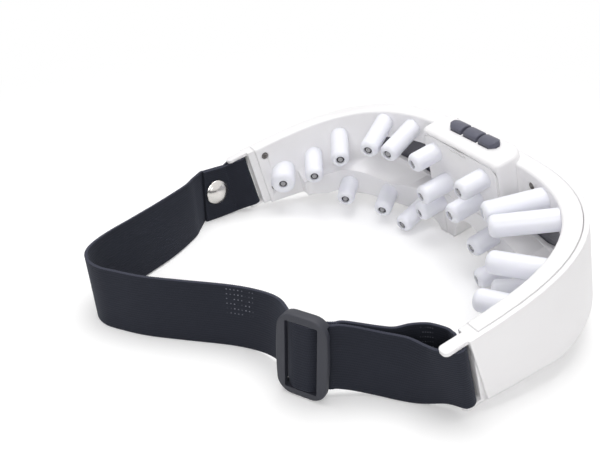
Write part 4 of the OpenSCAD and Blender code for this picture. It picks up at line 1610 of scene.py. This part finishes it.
@dataclass
class Strap(SubAssembly):
    """The elastic strap, in three lengths."""

    route: StrapRoute = field(default_factory=StrapRoute)
    width: float = 30.0
    picot: float = 0.9
    picot_out: float = 0.22
    station_gap: float = 0.3
    lane_count: int = 5
    lane_reach: float = 0.93
    blend_near: float = 11.0
    blend_far: float = 44.0
    edge: float = 0.32

    def resampled(self, stations: Sequence[Station]) -> list[tuple[Station, float]]:
        """Evenly spaced stations with their distance along the strap.

        Args:
            stations: Dense stations.

        Returns:
            Each new station and its distance.
        """
        reach = [0.0]
        for a, b in zip(stations, stations[1:]):
            reach.append(reach[-1] + (b.at - a.at).length)
        count = max(2, round(reach[-1] / self.station_gap))
        found, k = [], 0
        for i in range(count + 1):
            goal = reach[-1] * i / count
            while k < len(reach) - 2 and reach[k + 1] < goal:
                k += 1
            span = reach[k + 1] - reach[k]
            t = (goal - reach[k]) / span if span > 1e-9 else 0.0
            a, b = stations[k], stations[k + 1]
            station = Station(
                a.at.lerp(b.at, t), a.across + (b.across - a.across) * t, a.along + (b.along - a.along) * t
            )
            found.append((station, goal))
        return found

    def lanes(self) -> list[float]:
        """Where the band's rows of points lie across it, from -1 to 1.

        Returns:
            The place of each row.
        """
        count = self.lane_count
        inner = [k / count * self.lane_reach for k in range(-count, count + 1)]
        return [-1.0, *inner, 1.0]

    def band(self, name: str, stations: Sequence[Station]) -> bpy.types.Object:
        """Lays a grid along one length of the strap and gives it its thickness.

        Args:
            name: The piece's name.
            stations: Its dense stations.

        Returns:
            The band in metres, with a UV map: U across, V along in metres.
        """
        even = self.resampled(stations)
        lanes = self.lanes()
        runs, rows = len(even) - 1, len(lanes) - 1
        Workshop.clear()
        bpy.ops.mesh.primitive_grid_add(x_subdivisions=runs, y_subdivisions=rows, size=2)
        obj = bpy.context.object
        obj.name = name
        mesh = obj.data
        weave = mesh.uv_layers[0]
        weave.name = "weave"
        for spot in weave.data:
            u, v = spot.uv
            spot.uv = (0.5 + lanes[round(v * rows)] / 2, even[round(u * runs)][1] * MM)
        for point in mesh.vertices:
            station, reach = even[round((point.co.x + 1) / 2 * runs)]
            lane = lanes[round((point.co.y + 1) / 2 * rows)]
            half = self.width / 2
            if abs(lane) == 1:
                half -= self.picot_out * (0.5 - 0.5 * math.cos(math.tau * reach / self.picot))
            point.co = (station.at + station.width * lane * half) * MM
        thick = obj.modifiers.new("thickness", "SOLIDIFY")
        thick.thickness, thick.offset = self.route.thickness * MM, 0
        bpy.ops.object.modifier_apply(modifier=thick.name)
        return Workshop.bevelled(obj, self.edge * MM, 2, 66)

    def build(self) -> None:
        """Makes the three lengths of the strap."""
        place = self.route.slider_frame()

        def beside(x: float) -> Vector:
            """A point beside the slider along the strap, in metres."""
            return (place @ Vector((x, 0, 0))) * MM

        names = ("strap_long_band", "strap_right_band", "strap_return_band")
        nodes = (("strap_left", "strap_woven"), ("strap_right",), ("strap_return",))
        for name, stations, stands_for, sign in zip(names, self.route.lengths(), nodes, (-1, 1, 1)):
            band = self.band(name, stations)
            Workshop.smooth(band, 50)
            self.dress(band, Finish.STRAP_RETURN if name == names[2] else Finish.STRAP)
            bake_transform(band)
            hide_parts(*stands_for)
            LOG.info("%s: %d faces", name, len(band.data.polygons))


@dataclass
class Slider(SubAssembly):
    """The slider: a barrel-sided frame on edge, with a set-back centre bar."""

    route: StrapRoute = field(default_factory=StrapRoute)
    half_x: float = 10.0
    half_z: float = 18.4
    rail: float = 3.0
    depth: float = 4.8
    left: float = -7.0
    right: float = 6.7
    half_bar: float = 1.5
    slot_depth: float = 2.4
    corner: float = 6.0
    window_corner: float = 1.4
    opening_corner: float = 0.6
    barrel: float = 0.1
    edge: float = 0.6

    @staticmethod
    def through(a: Vector, b: Vector) -> bool:
        """Whether an edge runs through the slider's thickness."""
        return abs(a.x - b.x) < 0.01 and abs(a.z - b.z) < 0.01

    def frame_block(self) -> bpy.types.Object:
        """Shapes the slider's outside.

        Returns:
            A block with round corners, barrel sides and rounded edges.
        """
        low, high = (-self.half_x, -self.depth, -self.half_z), (self.half_x, 0, self.half_z)
        block = Workshop.box("slider_moulding", low, high)
        Workshop.rounded(block, self.through, self.corner, 7)
        Workshop.sliced(block, (0, 0, 1), range(-9, 10, 3))
        for point in block.data.vertices:
            point.co.x *= 1 + self.barrel * (1 - (point.co.z / self.half_z) ** 2)
        return Workshop.bevelled(block, self.edge, 3, 32)

    def build(self) -> None:
        """Makes the slider, cutting its window, its two openings and the slots at its sides."""
        body = self.frame_block()
        reach, front, wide = self.half_z - self.rail, -self.depth - 1, 2 * self.half_x
        window = ((self.left, self.right), front, -self.route.centre_t, self.window_corner, 4)
        near = ((self.left, -self.half_bar), front, 1, self.opening_corner, 3)
        far = ((self.half_bar, self.right), front, 1, self.opening_corner, 3)
        slots = [
            (ends, -self.slot_depth, self.slot_depth, 0, 0)
            for ends in ((-wide, self.left), (self.right, wide))
        ]
        for (x0, x1), y0, y1, corner, steps in (window, near, far, *slots):
            tool = Workshop.box("slider_cut", (x0, y0, -reach), (x1, y1, reach))
            if corner:
                Workshop.rounded(tool, self.through, corner, steps)
            Workshop.hollowed(body, tool)
        Workshop.placed(body, self.route.slider_frame())
        self.hand_in(body, Body.SLIDER.value, Finish.SLIDER, ["strap_slider"], 40)


@dataclass
class Rivet(SubAssembly):
    """The rivet through the strap's lap: a domed cap and a post."""

    route: StrapRoute = field(default_factory=StrapRoute)
    radius: float = 7.0
    height: float = 3.2
    clearance: float = 0.17
    above: float = 1.3
    steps: int = 10

    def build(self) -> None:
        """Turns the cap and the post and sets them through the strap."""
        stand = (
            Matrix.Translation(self.route.by_rivet(1, 0, self.above, 0, 0).at)
            @ Matrix.Rotation(self.route.rivet_turn, 4, "Z")
            @ Matrix.Rotation(math.radians(90), 4, "Y")
        )
        seat = (self.route.lap + self.route.thickness) / 2 + self.clearance
        sphere = (self.radius**2 + self.height**2) / (2 * self.height)
        rim = self.radius - 0.05
        dome = [(1.6, seat + 0.9), (1.6, seat + 0.02), (self.radius - 0.25, seat)]
        dome += [(self.radius, seat + 0.15), (rim, seat + 0.42)]
        for step in range(1, self.steps):
            r = rim * (1 - step / self.steps)
            dome.append((r, seat + self.height - sphere + math.sqrt(sphere**2 - r**2)))
        cap = Workshop.placed(Workshop.turned("rivet_dome", dome, 64), stand)
        self.hand_in(cap, Body.MASK.value, Finish.RIVET, ["rivet_cap"], 60)
        shank = [(4.2, -seat - 0.9), (4.5, -seat - 0.6), (4.5, -seat - 0.15), (4.3, -seat)]
        shank += [(1.5, -seat), (1.5, seat + 0.8), (1.2, seat + 1.2)]
        post = Workshop.placed(Workshop.turned("rivet_shank", shank), stand)
        self.hand_in(post, Body.MASK.value, Finish.RIVET, ["rivet_post"], 40)


@dataclass
class InnerParts(SubAssembly):
    """What the housings hide: board, switches, batteries, motors, wires and screws."""

    finishes: dict[str, Finish] = field(
        default_factory=lambda: {
            "circuit_board": Finish.BOARD,
            "tact_switches": Finish.CONTACT,
            "battery_upper": Finish.BATTERY,
            "battery_lower": Finish.BATTERY,
            "battery_contacts": Finish.CONTACT,
            "motor_left": Finish.MOTOR,
            "motor_right": Finish.MOTOR,
            "motor_weight_left": Finish.MOTOR,
            "motor_weight_right": Finish.MOTOR,
        }
    )
    head_area: float = 0.00001
    head_edge: float = 0.3
    recess_half: tuple[float, float] = (1.3, 0.3)
    recess_depths: tuple[float, float] = (0.6, 0.63)
    wire_radius: float = 0.7
    wire: tuple[tuple[float, float, float], ...] = (
        (23.5, 88.3, 28.2),
        (27, 90.2, 26),
        (30, 90.4, 24.2),
        (38, 89, 23),
        (50, 87, 22.6),
        (62, 82.6, 22.4),
        (72.5, 77.4, 20.5),
        (76.8, 74.4, 12),
        (76.6, 72.5, 5),
        (75, 70, 1),
        (73, 66.6, -0.8),
        (71.6, 64, -1.4),
    )

    def build_wires(self) -> None:
        """Makes each motor's wire as a round tube along its route."""
        pair = []
        for side in Side:
            curve = bpy.data.curves.new(f"wire_{side.word}", "CURVE")
            curve.dimensions = "3D"
            curve.bevel_depth = self.wire_radius * MM
            curve.bevel_resolution, curve.use_fill_caps = 3, True
            spline = curve.splines.new("NURBS")
            spline.points.add(len(self.wire) - 1)
            spline.use_endpoint_u, spline.order_u = True, 3
            for point, (x, y, z) in zip(spline.points, self.wire):
                point.co = (*(LAID @ Vector((side.value * x, y, z))) * MM, 1)
            obj = bpy.data.objects.new(f"wire_{side.word}", curve)
            bpy.context.scene.collection.objects.link(obj)
            Workshop.take(obj)
            bpy.ops.object.convert(target="MESH")
            pair.append(bpy.context.object)
        wires = Workshop.joined("motor_wire_pair", pair)
        self.hand_in(wires, Body.MASK.value, Finish.WIRE, ["motor_wires"], 60)

    def build_screws(self) -> None:
        """Rounds the screw heads and cuts a cross recess into each."""
        screws = Workshop.from_node("housing_screws", "housing_screw_set")
        faces = [face for face in screws.data.polygons if face.area > self.head_area]
        heads = [(face.center.copy(), face.normal.copy()) for face in faces]
        Workshop.bevelled(screws, self.head_edge * MM, 3, 60)
        long, wide = self.recess_half
        for at, out in heads:
            place = Matrix.Translation(at / MM) @ upright(out)
            for turn, depth in zip((0, math.pi / 2), self.recess_depths):
                arm = Workshop.box("recess_arm", (-long, -wide, -depth), (long, wide, 0.5))
                Workshop.placed(arm, place @ Matrix.Rotation(turn, 4, "Z"))
                Workshop.hollowed(screws, arm)
        self.hand_in(screws, Body.MASK.value, Finish.SCREW, ["housing_screws"], 40)

    def build(self) -> None:
        """Dresses the hidden CAD forms, draws the wires and cuts the screws."""
        for node, finish in self.finishes.items():
            self.repaint(node, finish)
        self.build_wires()
        self.build_screws()


@dataclass
class Studio:
    """The pale table, the soft light and the camera, as in the photograph."""

    eye: tuple[float, float, float] = (256.6, -152.6, 194.1)
    azimuth: float = 62.2
    elevation: float = 28.1
    focal_px: float = 747.8
    frame_px: float = 600.0
    sensor: float = 36.0
    table_glow: float = 0.2
    table_fade: tuple[float, float] = (0.16, 0.42)
    room_light: tuple[float, float] = (0.5, 1.02)

    def back(self) -> Vector:
        """The direction from the massager to the camera."""
        a, e = math.radians(self.azimuth), math.radians(self.elevation)
        return Vector((math.sin(a) * math.cos(e), -math.cos(a) * math.cos(e), math.sin(e)))

    @staticmethod
    def aimed(obj: bpy.types.Object, back: Vector) -> None:
        """Turns a camera or lamp away from a direction, and adds it to the scene.

        Args:
            obj: The camera or lamp.
            back: The direction that its back faces.
        """
        obj.rotation_mode = "QUATERNION"
        obj.rotation_quaternion = (-back).to_track_quat("-Z", "Y")
        bpy.context.scene.collection.objects.link(obj)

    def camera(self) -> None:
        """Sets the camera as the photograph was taken."""
        data = bpy.data.cameras.new("camera")
        data.sensor_width = self.sensor
        data.lens = self.focal_px / self.frame_px * self.sensor
        data.clip_start, data.clip_end = 0.01, 20
        camera = bpy.data.objects.new("camera", data)
        camera.location = Vector(self.eye) * MM
        self.aimed(camera, self.back())
        bpy.context.scene.camera = camera

    def table_top(self) -> None:
        """Lays the pale table. Seen, it is a little lighter than it lights, and fades to white."""
        Workshop.clear()
        bpy.ops.mesh.primitive_plane_add(size=6, location=(0, 0, -0.0002))
        floor = bpy.context.object
        floor.name = "table_top"
        bpy.ops.object.transform_apply(location=True, rotation=True, scale=True)
        table = SurfaceTable("pale_table")
        table.tree.nodes.remove(table.shader)
        looked = table.looked_at()
        diffuse = table.add("ShaderNodeBsdfDiffuse", Color=(0.9, 0.9, 0.9, 1))
        glow = table.add("ShaderNodeEmission")
        table.join(table.math("MULTIPLY", looked, self.table_glow), glow.inputs["Strength"])
        both = table.add("ShaderNodeAddShader")
        table.join(diffuse.outputs[0], both.inputs[0])
        table.join(glow.outputs[0], both.inputs[1])
        where = table.add("ShaderNodeTexCoord")
        away = table.add("ShaderNodeVectorMath", operation="LENGTH")
        table.join(where.outputs["Object"], away.inputs[0])
        fade = table.step(away.outputs["Value"], *self.table_fade)
        white = table.add("ShaderNodeEmission", Strength=1.0)
        choose = table.add("ShaderNodeMixShader")
        table.join(table.math("MULTIPLY", fade, looked), choose.inputs[0])
        table.join(both.outputs[0], choose.inputs[1])
        table.join(white.outputs[0], choose.inputs[2])
        table.join(choose.outputs[0], table.output.inputs["Surface"])
        floor.data.materials.append(table.material)

    def light(self) -> None:
        """Hangs two wide soft lamps in an even pale room."""
        world = bpy.data.worlds.new("pale_room")
        bpy.context.scene.world = world
        world.use_nodes = True
        room = NodeTable(world.node_tree)
        backdrop = room.tree.nodes["Background"]
        backdrop.inputs["Color"].default_value = (1.0, 0.99, 0.99, 1)
        room.join(room.spread(room.looked_at(), *self.room_light), backdrop.inputs["Strength"])
        for name, place, size, power in (
            ("top_lamp", (-0.1, 0.05, 0.9), 0.7, 4.5),
            ("side_lamp", (0.7, -0.55, 0.55), 0.6, 2.8),
        ):
            data = bpy.data.lights.new(name, "AREA")
            data.shape, data.size, data.energy = "DISK", size, power
            lamp = bpy.data.objects.new(name, data)
            lamp.location = place
            self.aimed(lamp, Vector(place))
        bpy.context.scene.view_settings.view_transform = "Standard"


def main() -> None:
    """Builds the massager piece by piece and sets the scene."""
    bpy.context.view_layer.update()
    paints = PaintShelf()
    studio = Studio()
    studio.camera()
    for assembly in (Housings, Fingers, Buttons, Strap, Slider, Rivet, InnerParts):
        LOG.info("building %s", assembly.__name__)
        assembly(paints).build()
    studio.table_top()
    studio.light()
    Workshop.clear()


if __name__ == "__main__":
    main()
